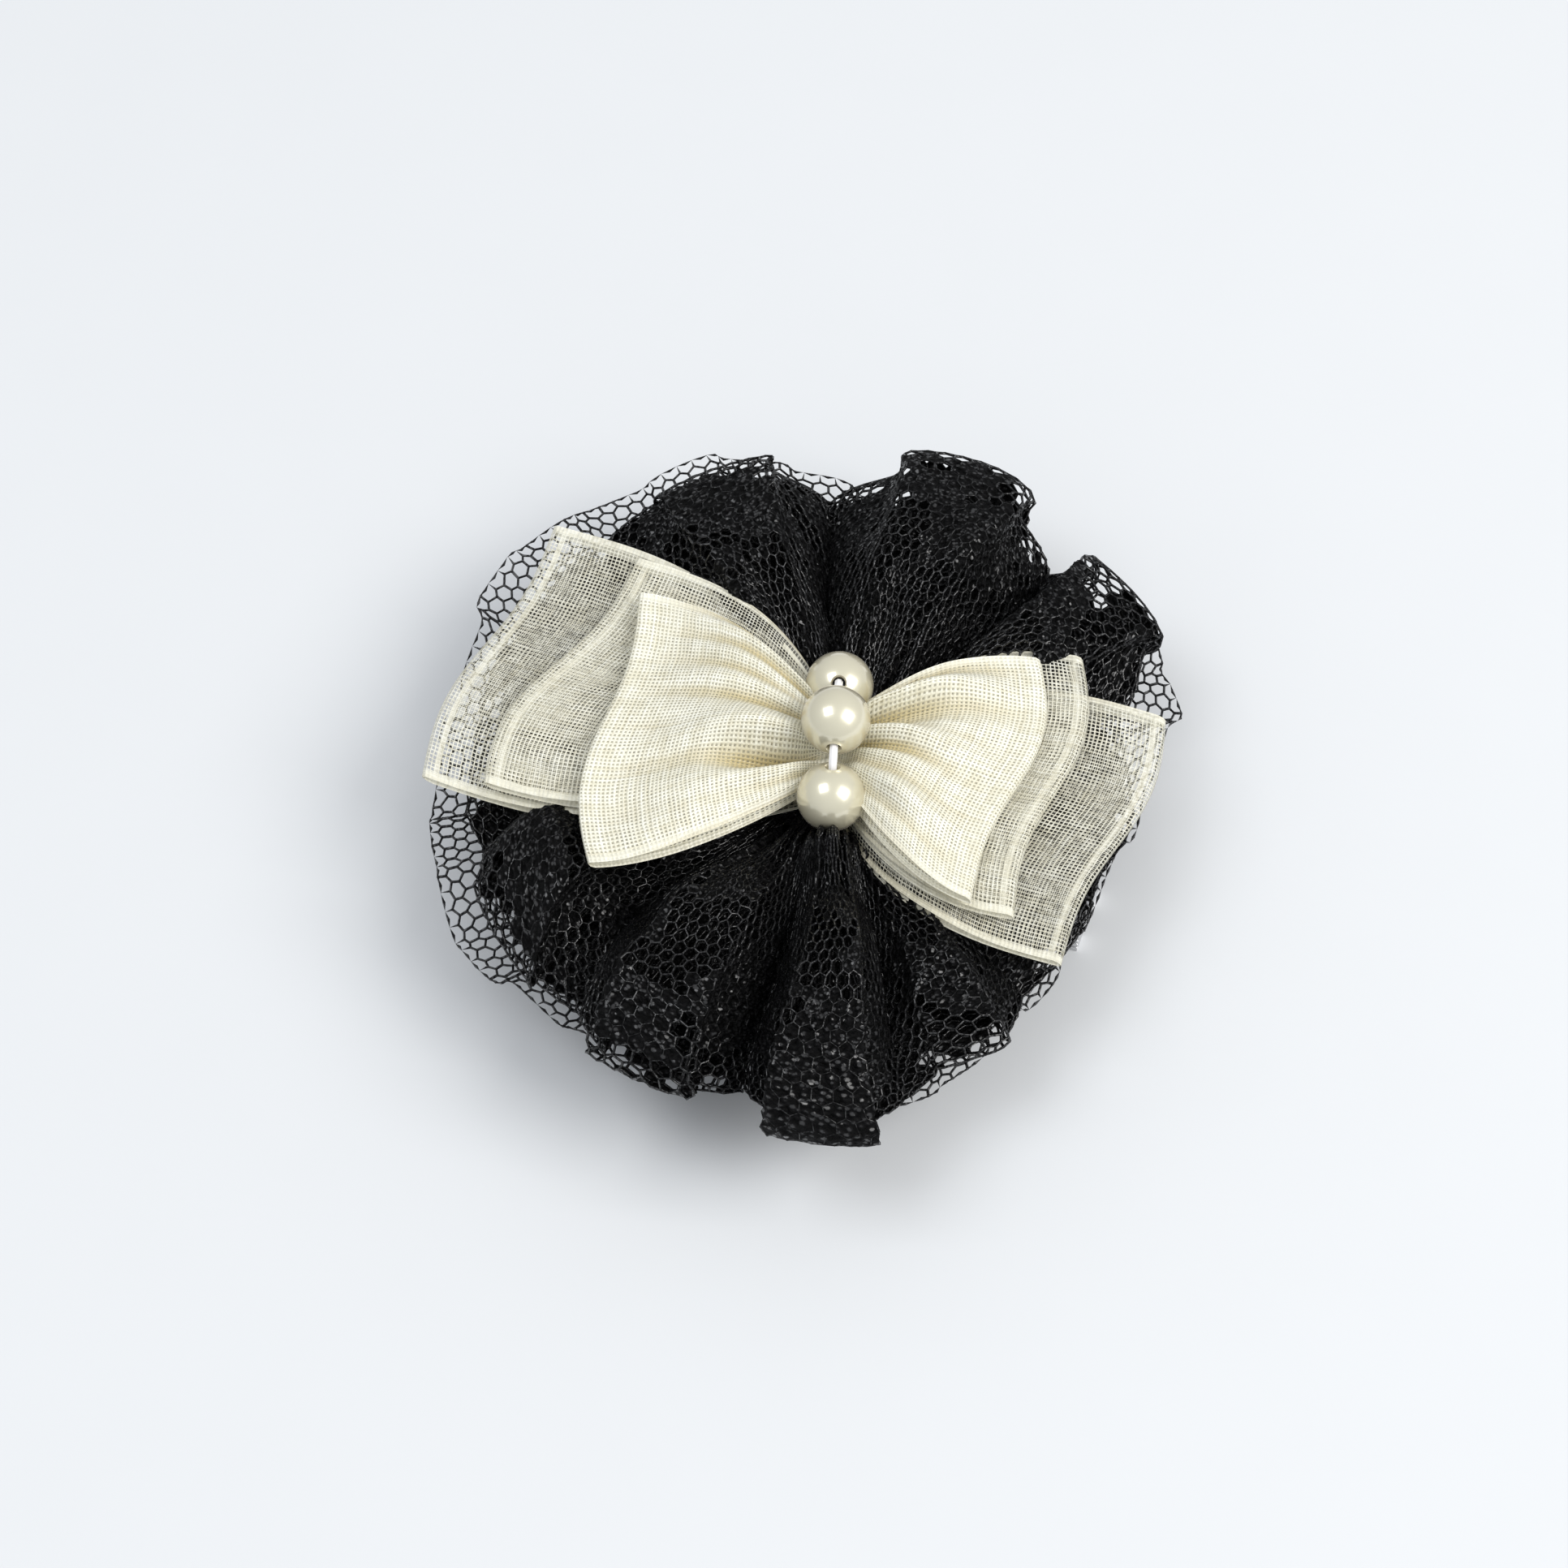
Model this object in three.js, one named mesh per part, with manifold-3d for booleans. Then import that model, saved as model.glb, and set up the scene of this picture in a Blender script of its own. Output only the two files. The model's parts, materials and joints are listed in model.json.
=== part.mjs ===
// Flower hair clip: a gathered lace rosette with a three-tier ribbon bow and three threaded
// pearls, sewn on to a spring barrette with a squeeze clasp.
// Millimetres, +Z up, X along the barrette and the bow, flower side up, clip closed.

import * as THREE from 'three';
import { mergeVertices } from 'three/addons/utils/BufferGeometryUtils.js';
import Module from 'manifold-3d';

const wasm = await Module();
wasm.setup();

const { clamp, degToRad, lerp, smoothstep } = THREE.MathUtils;

// ---------------------------------------------------------------- driving dimensions

const fitGap = 0.3; // between pieces that touch on the real clip

const rosetteLength = 87; // lace, along X
const rosetteDepth = 94; // lace, along Y

const waistX = 6.5; // the bow's waist and the lace's gathering point sit off centre
const waistHalf = 5; // half the length of the pinched stretch of the bow

const plateHalf = 35; // half the length of the barrette's top plate
const plateWidth = 9;
const plateThickness = 0.8;
const plateRise = 3; // how much the plate arches along its length

const earLength = 3.4;
const earThickness = 0.8;
const pinRadius = 0.7;
const pinHeadRadius = 1.2;
const pinHeadThickness = 0.5;
const pinInset = 1.7; // from the plate's end to the pin
const knuckleRadius = 1.5;

const armThickness = 1;
const armWidth = 5.6;
const armBelow = 0.9; // underside of the closed arm
const frameWidth = 8.4; // the frame at the arm's free end
const frameBar = 1.2;

const springWidth = 3.8;
const springThickness = 0.5;
const springRise = 1.95;
const springInset = 4.4; // from the plate's ends to the spring's
const springTravel = 1.4; // how far the spring gives when hair is under it
const hairGapEnd = 2.95; // from the closed arm to the spring's ends
const plateClearance = 0.7; // left over the spring when it is pressed right up
const seatThickness = 0.6;

const tabThickness = 0.6;
const tabOuter = 2.6; // outer face of a clasp prong, from the middle
const prongLength = 2.4;
const barbReach = 0.8;
const barbHeight = 0.6;
const padLength = 2.8;
const padReach = 4.4;
const padHeight = 3.2;
const rivetRadius = 0.6;
const rivetHeadRadius = 1.1;
const rivetTailRadius = 0.9;
const rivetHeadThickness = 0.5;
const rivetRoom = 1.5; // over the plate, for the rivet's head

const feltRadius = 27;
const feltThickness = 1;

const threadThickness = 0.5;
const stitchX = 22;
const stitchY = 3.2;
const stitchLength = 3;
const gatherInset = 2.7; // from the string's holes in to the gathering thread

const underLaceThickness = 1.4;
const underRimBelow = 7.2; // underside of the lower ruffle's edge
const underRimThickness = 2.8;
const underRimRounding = 0.8;
const droopEase = 1.4; // beyond the felt, where the lower ruffle starts to droop
const droopReach = 22; // beyond the felt, where it would be right down
const laceCoreThickness = 2.7; // gathered plies of the upper ruffle under the bow
const laceCraterMargin = 2.2; // hollow in the upper ruffle beyond the string
const lacePuffHeight = 7; // how far the puffs stand above the gathered core
const topRimBelow = 12;
const laceGap = 0.8; // between the two ruffles
const upperInset = 1.5; // from the lower ruffle's edge to the upper one's

const ribbonPly = 0.4;
const ribbonHalfWidth = 19; // at the ends of the loops

const pearlRadius = 4;
const pearlGap = 0.82; // between neighbouring pearls
const pearlSlope = 29.2; // degrees down from the middle pearl to the outer ones
const pearlTilt = 60; // degrees from level of the outer pearls' bores
const stringTurn = 15.5; // degrees between the string of pearls and the Y axis
const stringRadius = 0.5;
const stringBend = 1.2; // radius of the string's bends between the pearls
const boreRadius = stringRadius + 0.4;
const boreMouthRadius = boreRadius + 0.6;
const knotRadius = 1;

// ---------------------------------------------------------------- solids

function solidOf(geometry) {
  const bare = geometry.clone();
  bare.deleteAttribute('normal');
  bare.deleteAttribute('uv');
  const welded = mergeVertices(bare);
  return new wasm.Manifold(new wasm.Mesh({
    numProp: 3,
    vertProperties: new Float32Array(welded.attributes.position.array),
    triVerts: new Uint32Array(welded.index.array),
  }));
}

function geometryOf(solid) {
  const { vertProperties, triVerts } = solid.getMesh();
  const geometry = new THREE.BufferGeometry();
  geometry.setAttribute('position', new THREE.BufferAttribute(vertProperties, 3));
  geometry.setIndex(new THREE.BufferAttribute(triVerts, 1));
  return geometry;
}

function join(...pieces) {
  return geometryOf(pieces.map(solidOf).reduce((whole, piece) => whole.add(piece)));
}

function cut(body, ...tools) {
  return geometryOf(tools.map(solidOf).reduce((whole, tool) => whole.subtract(tool), solidOf(body)));
}

function overlapOf(first, second) {
  return geometryOf(solidOf(first).intersect(solidOf(second)));
}

function boxBetween([lowX, lowY, lowZ], [highX, highY, highZ]) {
  const box = new THREE.BoxGeometry(highX - lowX, highY - lowY, highZ - lowZ);
  return box.translate((lowX + highX) / 2, (lowY + highY) / 2, (lowZ + highZ) / 2);
}

// A box on one side of the XZ plane, between two distances from it.
function sideBox(side, [lowX, highX], [near, far], [lowZ, highZ]) {
  const lowY = Math.min(side * near, side * far);
  const highY = Math.max(side * near, side * far);
  return boxBetween([lowX, lowY, lowZ], [highX, highY, highZ]);
}

function uprightCylinder(radius, x, y, lowZ, highZ, sides = 16) {
  const cylinder = new THREE.CylinderGeometry(radius, radius, highZ - lowZ, sides);
  return cylinder.rotateX(Math.PI / 2).translate(x, y, (lowZ + highZ) / 2);
}

function crosswiseCylinder(radius, length, x, z, sides = 20) {
  return new THREE.CylinderGeometry(radius, radius, length, sides).translate(x, 0, z);
}

// Extrudes an outline drawn in the XZ plane, centred on the plane.
function crosswiseExtrusion(outline, width, options = {}) {
  const settings = { depth: width, bevelEnabled: false, curveSegments: 6, ...options };
  const geometry = new THREE.ExtrudeGeometry(outline, settings);
  return geometry.rotateX(Math.PI / 2).translate(0, width / 2, 0);
}

// ---------------------------------------------------------------- arches

function archRadius(half, rise) {
  return (half * half + rise * rise) / (2 * rise);
}

const armTop = armBelow + armThickness;
const springHalf = plateHalf - springInset;
const springEndBelow = armTop + hairGapEnd;
const plateBelow = springEndBelow + springRise + springThickness + springTravel + plateClearance;

const plateRadius = archRadius(plateHalf, plateRise);
const plateCentreZ = plateBelow - plateRadius;
const springRadius = archRadius(springHalf, springRise);
const springCentreZ = springEndBelow + springRise - springRadius;

// Height at x of a surface of the plate or of what lies over it, so much above its underside.
function overPlate(x, above = 0) {
  return plateCentreZ + Math.sqrt((plateRadius + above) ** 2 - x * x);
}

function archedStrip(half, radius, centreZ, thickness, width) {
  const spread = Math.asin(half / radius);
  const outline = new THREE.Shape();
  outline.absarc(0, centreZ, radius + thickness, Math.PI / 2 + spread, Math.PI / 2 - spread, true);
  outline.absarc(0, centreZ, radius, Math.PI / 2 - spread, Math.PI / 2 + spread, false);
  return crosswiseExtrusion(outline, width, { curveSegments: 16 });
}

// ---------------------------------------------------------------- barrette

const pinX = -(plateHalf - pinInset);
const pinZ = armTop;
const pinHoleRadius = pinRadius + fitGap;
const seatTop = springEndBelow - fitGap;
const seatLow = seatTop - seatThickness;

const bracketX = springHalf + fitGap + 0.1;
const prongX = bracketX + seatThickness;
const prongEndX = prongX + prongLength;
const windowX = prongX - fitGap;
const windowEndX = prongEndX + fitGap;
const frameEndX = windowEndX + frameBar;
const padX = frameEndX + fitGap;
const padEndX = padX + padLength;
const rivetX = prongX + 1.3;
const bracketTop = overPlate(plateHalf) - fitGap;
const bracketBelow = bracketTop - seatThickness;
const tabTop = bracketTop - 0.1;
const tabInner = tabOuter - tabThickness;

const stringDirection = new THREE.Vector3(
  -Math.sin(degToRad(stringTurn)),
  Math.cos(degToRad(stringTurn)),
  0,
);
const pearlSpacing = 2 * pearlRadius + pearlGap;
const pearlSpread = pearlSpacing * Math.cos(degToRad(pearlSlope));
const pearlDrop = pearlSpacing * Math.sin(degToRad(pearlSlope));
const tilt = degToRad(pearlTilt);
const stringFootReach = pearlSpread + (pearlRadius + 1) * Math.cos(tilt);

function alongString(reach, z) {
  return new THREE.Vector3(waistX, 0, z).addScaledVector(stringDirection, reach);
}

const stitchPlaces = [
  [-stitchX, -stitchY],
  [-stitchX, stitchY],
  [stitchX, -stitchY],
  [stitchX, stitchY],
];
const stitchHoleRadius = threadThickness * Math.SQRT1_2 + fitGap + 0.05;

// The four pairs of holes that the sewing thread runs through.
function stitchHoles(lowZ, highZ) {
  return stitchPlaces.flatMap(([x, y]) => [-1, 1].map((end) => (
    uprightCylinder(stitchHoleRadius, x + end * stitchLength / 2, y, lowZ, highZ, 10)
  )));
}

// The two holes that the pearl string runs down through.
function stringHoles(lowZ, highZ) {
  return [-1, 1].map((end) => {
    const foot = alongString(end * stringFootReach, 0);
    return uprightCylinder(boreRadius, foot.x, foot.y, lowZ, highZ, 12);
  });
}

function basePlate() {
  const half = plateWidth / 2;
  const earEndX = -plateHalf + earLength;
  const earTop = overPlate(earEndX) + 0.1;
  const ears = [-1, 1].map((side) => (
    sideBox(side, [-plateHalf + 0.05, earEndX], [half - earThickness, half], [0, earTop])
  ));
  const seat = boxBetween([earEndX - 0.6, -half, seatLow], [-springHalf + 1, half, seatTop]);
  const plate = archedStrip(plateHalf, plateRadius, plateCentreZ, plateThickness, plateWidth);
  return cut(
    join(plate, ...ears, seat),
    crosswiseCylinder(pinHoleRadius, plateWidth + 2, pinX, pinZ),
    uprightCylinder(rivetRadius + fitGap, rivetX, 0, bracketTop, plateBelow),
    ...stitchHoles(plateBelow - plateRise, plateBelow + plateThickness + 1),
  );
}

function hingePin() {
  const shankHalf = plateWidth / 2 + fitGap;
  const headHalf = shankHalf + pinHeadThickness;
  const profile = [
    [0, -headHalf],
    [pinHeadRadius, -headHalf],
    [pinHeadRadius, -shankHalf],
    [pinRadius, -shankHalf],
    [pinRadius, shankHalf],
    [pinHeadRadius, shankHalf],
    [pinHeadRadius, headHalf],
    [0, headHalf],
  ].map(([radius, along]) => new THREE.Vector2(radius, along));
  return new THREE.LatheGeometry(profile, 20);
}

function swingArm() {
  const half = armWidth / 2;
  const knuckleLength = plateWidth - 2 * earThickness - 0.8;
  const knuckle = crosswiseCylinder(knuckleRadius, knuckleLength, pinX, pinZ);
  const strip = boxBetween([pinX, -half, armBelow], [windowX, half, armTop]);
  const frame = boxBetween(
    [windowX - frameBar, -frameWidth / 2, armBelow],
    [frameEndX, frameWidth / 2, armTop],
  );
  const window = boxBetween(
    [windowX, -tabOuter - fitGap, armBelow - 1],
    [windowEndX, tabOuter + fitGap, armTop + 1],
  );
  return cut(
    join(knuckle, strip, frame),
    window,
    crosswiseCylinder(pinHoleRadius, plateWidth, pinX, pinZ),
  );
}

function tensionSpring() {
  return archedStrip(springHalf, springRadius, springCentreZ, springThickness, springWidth);
}

function claspBracket() {
  const lipHalf = tabInner - 0.8;
  const web = boxBetween(
    [bracketX, -tabInner + fitGap, bracketBelow],
    [padX + 0.8, tabInner - fitGap, bracketTop],
  );
  const drop = boxBetween([bracketX, -lipHalf, seatLow], [prongX, lipHalf, bracketTop]);
  const lip = boxBetween([springHalf - 1.4, -lipHalf, seatLow], [prongX, lipHalf, seatTop]);
  const rivetHole = uprightCylinder(rivetRadius + fitGap, rivetX, 0, seatLow, plateBelow);
  return cut(join(web, drop, lip), rivetHole);
}

function claspRivet() {
  const headBelow = overPlate(rivetX, plateThickness) + fitGap + 0.1;
  const tailTop = bracketBelow - fitGap;
  const profile = [
    [0, tailTop - rivetHeadThickness],
    [rivetTailRadius, tailTop - rivetHeadThickness],
    [rivetTailRadius, tailTop],
    [rivetRadius, tailTop],
    [rivetRadius, headBelow],
    [rivetHeadRadius, headBelow],
    [rivetHeadRadius * 0.7, headBelow + rivetHeadThickness],
    [0, headBelow + rivetHeadThickness],
  ].map(([radius, height]) => new THREE.Vector2(radius, height));
  return new THREE.LatheGeometry(profile, 16).rotateX(Math.PI / 2).translate(rivetX, 0, 0);
}

// One half of the squeeze clasp: a prong with an outward barb, and a ridged finger pad.
function claspTab(side) {
  const prong = sideBox(side, [prongX, prongEndX], [tabInner, tabOuter], [0, tabTop]);
  const bridge = sideBox(
    side,
    [prongEndX - 0.5, padEndX],
    [tabInner, tabOuter],
    [armTop + fitGap + 0.2, tabTop],
  );
  const pad = sideBox(side, [padX, padEndX], [tabInner, padReach], [0, padHeight]);
  const ridges = [0.8, 1.6, 2.4].map((z) => (
    sideBox(side, [padX - 1, padEndX + 1], [padReach - 0.25, padReach + 1], [z - 0.15, z + 0.15])
  ));
  const barbOutline = new THREE.Shape([
    [tabInner, 0],
    [tabOuter, 0],
    [tabOuter + barbReach, barbHeight * 0.7],
    [tabOuter + barbReach, barbHeight],
    [tabInner, barbHeight],
  ].map(([y, z]) => new THREE.Vector2(side * y, z)));
  const barb = new THREE.ExtrudeGeometry(barbOutline, {
    depth: prongLength - 0.4,
    bevelEnabled: false,
  });
  barb.rotateX(Math.PI / 2).rotateZ(Math.PI / 2).translate(prongX + 0.2, 0, 0);
  return cut(join(prong, bridge, pad, barb), ...ridges);
}

// ---------------------------------------------------------------- backing and sewing

const feltBelow = plateThickness + fitGap; // above the plate's underside
const feltMiddleTop = overPlate(0, feltBelow + feltThickness);

function feltBacking() {
  const slab = archedStrip(
    feltRadius + 1,
    plateRadius + feltBelow,
    plateCentreZ,
    feltThickness,
    2 * feltRadius + 2,
  );
  const disc = uprightCylinder(feltRadius, 0, 0, 0, feltMiddleTop + 2, 48);
  return cut(
    overlapOf(slab, disc),
    uprightCylinder(rivetHeadRadius + fitGap, rivetX, 0, 0, feltMiddleTop + 2),
    ...stitchHoles(0, feltMiddleTop + 2),
    ...stringHoles(0, feltMiddleTop + 2),
  );
}

function roundedOutline(halfLength, lowZ, highZ, corner, Outline = THREE.Shape) {
  const outline = new Outline();
  const right = halfLength - corner;
  const low = lowZ + corner;
  const high = highZ - corner;
  outline.absarc(right, high, corner, 0, Math.PI / 2, false);
  outline.absarc(-right, high, corner, Math.PI / 2, Math.PI, false);
  outline.absarc(-right, low, corner, Math.PI, Math.PI * 1.5, false);
  outline.absarc(right, low, corner, Math.PI * 1.5, Math.PI * 2, false);
  return outline;
}

// A loop of thread through two holes of the plate and the felt.
function plateStitch(x) {
  const far = Math.abs(x) + stitchLength / 2;
  const near = Math.abs(x) - stitchLength / 2;
  const innerLow = overPlate(far) - fitGap;
  const innerHigh = overPlate(near, feltBelow + feltThickness) + fitGap;
  const half = (stitchLength - threadThickness) / 2;
  const outline = roundedOutline(
    half + threadThickness,
    innerLow - threadThickness,
    innerHigh + threadThickness,
    0.7,
  );
  outline.holes.push(roundedOutline(half, innerLow, innerHigh, 0.3, THREE.Path));
  return crosswiseExtrusion(outline, threadThickness, { curveSegments: 3 });
}

// ---------------------------------------------------------------- lace

const underLaceBelow = feltMiddleTop + fitGap;
const underLaceTop = underLaceBelow + underLaceThickness;
const topLaceBelow = underLaceTop + threadThickness + 2 * fitGap;
const laceCoreTop = topLaceBelow + laceCoreThickness;

// The lower ruffle lies flat over the felt, droops beyond its edge and clears the plate's ends.
function underLaceAt(x, y) {
  const beyondFelt = Math.hypot(x, y) - feltRadius;
  const drooped = lerp(underLaceBelow, underRimBelow, smoothstep(beyondFelt, droopEase, droopReach));
  const overThePlate = Math.abs(x) < plateHalf + 1 && Math.abs(y) < plateWidth;
  return overThePlate ? Math.max(drooped, overPlate(x, plateThickness) + rivetRoom) : drooped;
}

function underLaceTopAt(x, y) {
  const droop = (underLaceBelow - underLaceAt(x, y)) / (underLaceBelow - underRimBelow);
  return underLaceAt(x, y) + lerp(underLaceThickness, underRimThickness, droop);
}

// How far the edge reaches from the gathering point, by direction in degrees.
const lowerLobes = [
  [-180, 49], [-150, 48], [-125, 45.5], [-100, 45], [-85, 48.5], [-65, 46], [-45, 39.5],
  [-25, 36], [0, 35.5], [22, 38], [45, 43], [64, 48], [72, 44], [88, 48], [104, 47],
  [122, 45], [136, 51], [158, 52],
];
const upperLobes = [
  [-180, 46.5], [-150, 45.5], [-125, 43], [-105, 43], [-85, 47], [-65, 44], [-45, 37],
  [-25, 34.5], [0, 35], [22, 37], [45, 41], [62, 45], [70, 39], [88, 46.5], [104, 43],
  [118, 40.5], [136, 47], [158, 49.5],
];

function reachAt(lobes, angle) {
  const next = lobes.findIndex(([direction]) => direction > angle);
  const after = next < 0 ? [lobes[0][0] + 360, lobes[0][1]] : lobes[next];
  const before = lobes.at(next < 0 ? -1 : next - 1);
  const share = (angle - before[0]) / (after[0] - before[0]);
  return lerp(before[1], after[1], smoothstep(share, 0, 1));
}

// 0 under the bow, 1 where the lace puffs up in front of it and behind it.
function puffShare(angle) {
  return smoothstep(Math.abs(Math.sin(degToRad(angle))), 0.74, 0.92);
}

// A closed sheet of lace round the gathering point, an inset short of the rosette's length and
// depth. below and above give the height of its two faces from the share of the way to the
// edge, the direction and the place.
function ruffle(lobes, inset, below, above) {
  const rings = 10;
  const sides = 40;
  const face = (height) => Array.from({ length: rings + 1 }, (_, ring) => (
    new THREE.Vector2(ring / rings, height)
  ));
  const profile = [...face(0), ...face(1).reverse()];
  const geometry = new THREE.LatheGeometry(profile, sides).rotateX(Math.PI / 2);
  const position = geometry.attributes.position;
  const shares = [];
  for (let i = 0; i < position.count; i++) {
    const x = position.getX(i);
    const y = position.getY(i);
    const share = Math.min(Math.hypot(x, y), 1);
    const angle = THREE.MathUtils.radToDeg(Math.atan2(y, x));
    const reach = reachAt(lobes, angle);
    shares.push({ share, angle, height: position.getZ(i) < 0.5 ? below : above });
    position.setXYZ(i, waistX + x * reach, y * reach, 0);
  }
  fitToRosette(geometry, inset);
  shares.forEach(({ share, angle, height }, i) => {
    position.setZ(i, height(share, angle, position.getX(i), position.getY(i)));
  });
  return geometry;
}

// Fits the lace to the rosette's length and depth, centred on the barrette, less an inset.
function fitToRosette(geometry, inset) {
  geometry.computeBoundingBox();
  const { min, max } = geometry.boundingBox;
  const halfLength = rosetteLength / 2 - inset;
  const halfDepth = rosetteDepth / 2 - inset;
  const position = geometry.attributes.position;
  const place = (value, middle, low, high, half) => (
    value < middle
      ? middle + (value - middle) * (middle + half) / (middle - low)
      : middle + (value - middle) * (half - middle) / (high - middle)
  );
  for (let i = 0; i < position.count; i++) {
    position.setX(i, place(position.getX(i), waistX, min.x, max.x, halfLength));
    position.setY(i, place(position.getY(i), 0, min.y, max.y, halfDepth));
  }
  return geometry;
}

function underRuffle() {
  const below = (share, angle, x, y) => underLaceAt(x, y);
  const above = (share, angle, x, y) => (
    underLaceTopAt(x, y) - (share > 0.99 ? underRimRounding : 0)
  );
  const sheet = ruffle(lowerLobes, 0, below, above);
  return cut(sheet, ...stringHoles(underRimBelow, underLaceTop + 1));
}

function topRuffle() {
  const craterShare = (stringFootReach + laceCraterMargin) / (rosetteDepth / 2);
  const puff = [
    [0, 0], [craterShare, 0], [0.42, 0.43], [0.58, 0.86], [0.72, 1], [0.86, 0.8], [0.95, 0.3],
    [1, -0.15],
  ];
  const puffHeight = (share) => {
    const next = clamp(puff.findIndex(([end]) => end >= share), 1, puff.length - 1);
    const [start, low] = puff[next - 1];
    const [end, high] = puff[next];
    return laceCoreTop + lacePuffHeight * lerp(low, high, (share - start) / (end - start));
  };
  const flatHeight = (share) => laceCoreTop - 2 * smoothstep(share, 0.85, 1);
  const below = (share, angle, x, y) => Math.max(
    lerp(topLaceBelow, topRimBelow, smoothstep(share, 0.6, 1)),
    underLaceTopAt(x, y) + laceGap,
  );
  const above = (share, angle) => lerp(flatHeight(share), puffHeight(share), puffShare(angle));
  const sheet = ruffle(upperLobes, upperInset, below, above);
  return cut(sheet, ...stringHoles(underLaceTop, laceCoreTop + 1));
}

function gatheringThread() {
  const gatherRadius = stringFootReach - gatherInset;
  const half = threadThickness / 2;
  const profile = Array.from({ length: 9 }, (_, i) => {
    const turn = (i % 8) * Math.PI / 4;
    return new THREE.Vector2(gatherRadius + half * Math.cos(turn), half * Math.sin(turn));
  });
  const ring = new THREE.LatheGeometry(profile, 40).rotateX(Math.PI / 2);
  return ring.translate(waistX, 0, underLaceTop + fitGap + half);
}

// ---------------------------------------------------------------- bow

// Each tier is one ring of ribbon, laid flat and pinched at the waist. Heights at the waist
// and in the loops count up from the lace, tier on tier.
const bowBelow = laceCoreTop + fitGap;
const waistOpening = [0.7, 0.7, 1.3];
const loopOpening = [1.6, 1.3, 2.5];
const tiers = [
  { name: 'bow_long_ribbon', left: 44, right: 34.5, waistShare: 0.6 },
  { name: 'bow_middle_ribbon', left: 35, right: 24.5, waistShare: 0.5 },
  { name: 'bow_top_ribbon', left: 26.5, right: 19.5, waistShare: 0.4 },
];

let waistLow = bowBelow;
let loopLow = bowBelow + fitGap;
tiers.forEach((tier, i) => {
  tier.waistHalfWidth = tier.waistShare * pearlSpread;
  tier.waistLow = waistLow;
  tier.waistHigh = waistLow + waistOpening[i] + 2 * ribbonPly;
  tier.loopLow = loopLow;
  tier.loopHigh = loopLow + loopOpening[i] + 2 * ribbonPly;
  waistLow = tier.waistHigh + fitGap;
  loopLow = tier.loopHigh + fitGap;
});
const bowTop = tiers.at(-1).waistHigh;

// The closed line of a tier in the XZ plane, drawn so far inside its outer face.
function tierLine(tier, inset, Outline) {
  const flare = (x) => smoothstep(Math.abs(x), waistHalf, waistHalf + 11);
  const high = (x) => lerp(tier.waistHigh, tier.loopHigh, flare(x)) - inset;
  const low = (x) => lerp(tier.waistLow, tier.loopLow, flare(x)) + inset;
  const bulge = (tier.loopHigh - tier.loopLow) / 2 - inset;
  const leftEnd = -tier.left + inset + bulge;
  const rightEnd = tier.right - inset - bulge;
  const stations = [
    leftEnd, -18, -14, -11, -8, -waistHalf, waistHalf, 8, 11, 14, rightEnd,
  ].filter((x) => x >= leftEnd && x <= rightEnd);
  const points = stations.map((x) => [x, high(x)]);
  const roundEnd = (endX, side) => [1, 2, 3].forEach((step) => {
    const turn = Math.PI / 2 - step * Math.PI / 4;
    const middle = (tier.loopHigh + tier.loopLow) / 2;
    points.push([endX + side * bulge * Math.cos(turn), middle + side * bulge * Math.sin(turn)]);
  });
  roundEnd(rightEnd, 1);
  stations.reverse().forEach((x) => points.push([x, low(x)]));
  roundEnd(leftEnd, -1);
  return new Outline(points.reverse().map(([x, z]) => new THREE.Vector2(waistX + x, z)));
}

// The bow seen from above: pinched at the waist, full ribbon width at the ends.
function tierPlan(tier) {
  const halfWidth = (x) => (
    lerp(tier.waistHalfWidth, ribbonHalfWidth, smoothstep(Math.abs(x), waistHalf, waistHalf + 25))
  );
  const inner = [-28, -24, -20, -16, -12, -8, -waistHalf, waistHalf, 8, 12, 16, 20, 24, 28];
  const reaching = inner.filter((x) => x > -tier.left && x < tier.right);
  const stations = [-tier.left - 1, ...reaching, tier.right + 1];
  const front = stations.map((x) => new THREE.Vector2(waistX + x, -halfWidth(x)));
  const rear = stations.map((x) => new THREE.Vector2(waistX + x, halfWidth(x))).reverse();
  const height = tier.loopHigh - tier.waistLow + 2;
  const plan = new THREE.ExtrudeGeometry(new THREE.Shape([...front, ...rear]), {
    depth: height,
    bevelEnabled: false,
  });
  return plan.translate(0, 0, tier.waistLow - 1);
}

function ribbonTier(tier) {
  const outline = tierLine(tier, 0, THREE.Shape);
  outline.holes.push(tierLine(tier, ribbonPly, THREE.Path));
  return overlapOf(crosswiseExtrusion(outline, 2 * ribbonHalfWidth), tierPlan(tier));
}

// ---------------------------------------------------------------- pearls and their string

const middlePearlZ = bowTop + fitGap + pearlRadius;
const sidePearlZ = middlePearlZ - pearlDrop;

function pearl() {
  const mouthAngle = Math.asin(boreMouthRadius / pearlRadius);
  const mouthHeight = pearlRadius * Math.cos(mouthAngle);
  const steps = 12;
  const profile = [new THREE.Vector2(boreRadius, -mouthHeight + 0.6)];
  for (let i = 0; i <= steps; i++) {
    const turn = lerp(Math.PI - mouthAngle, mouthAngle, i / steps);
    profile.push(new THREE.Vector2(pearlRadius * Math.sin(turn), pearlRadius * Math.cos(turn)));
  }
  profile.push(new THREE.Vector2(boreRadius, mouthHeight - 0.6));
  profile.push(profile[0].clone());
  return new THREE.LatheGeometry(profile, 20);
}

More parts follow.
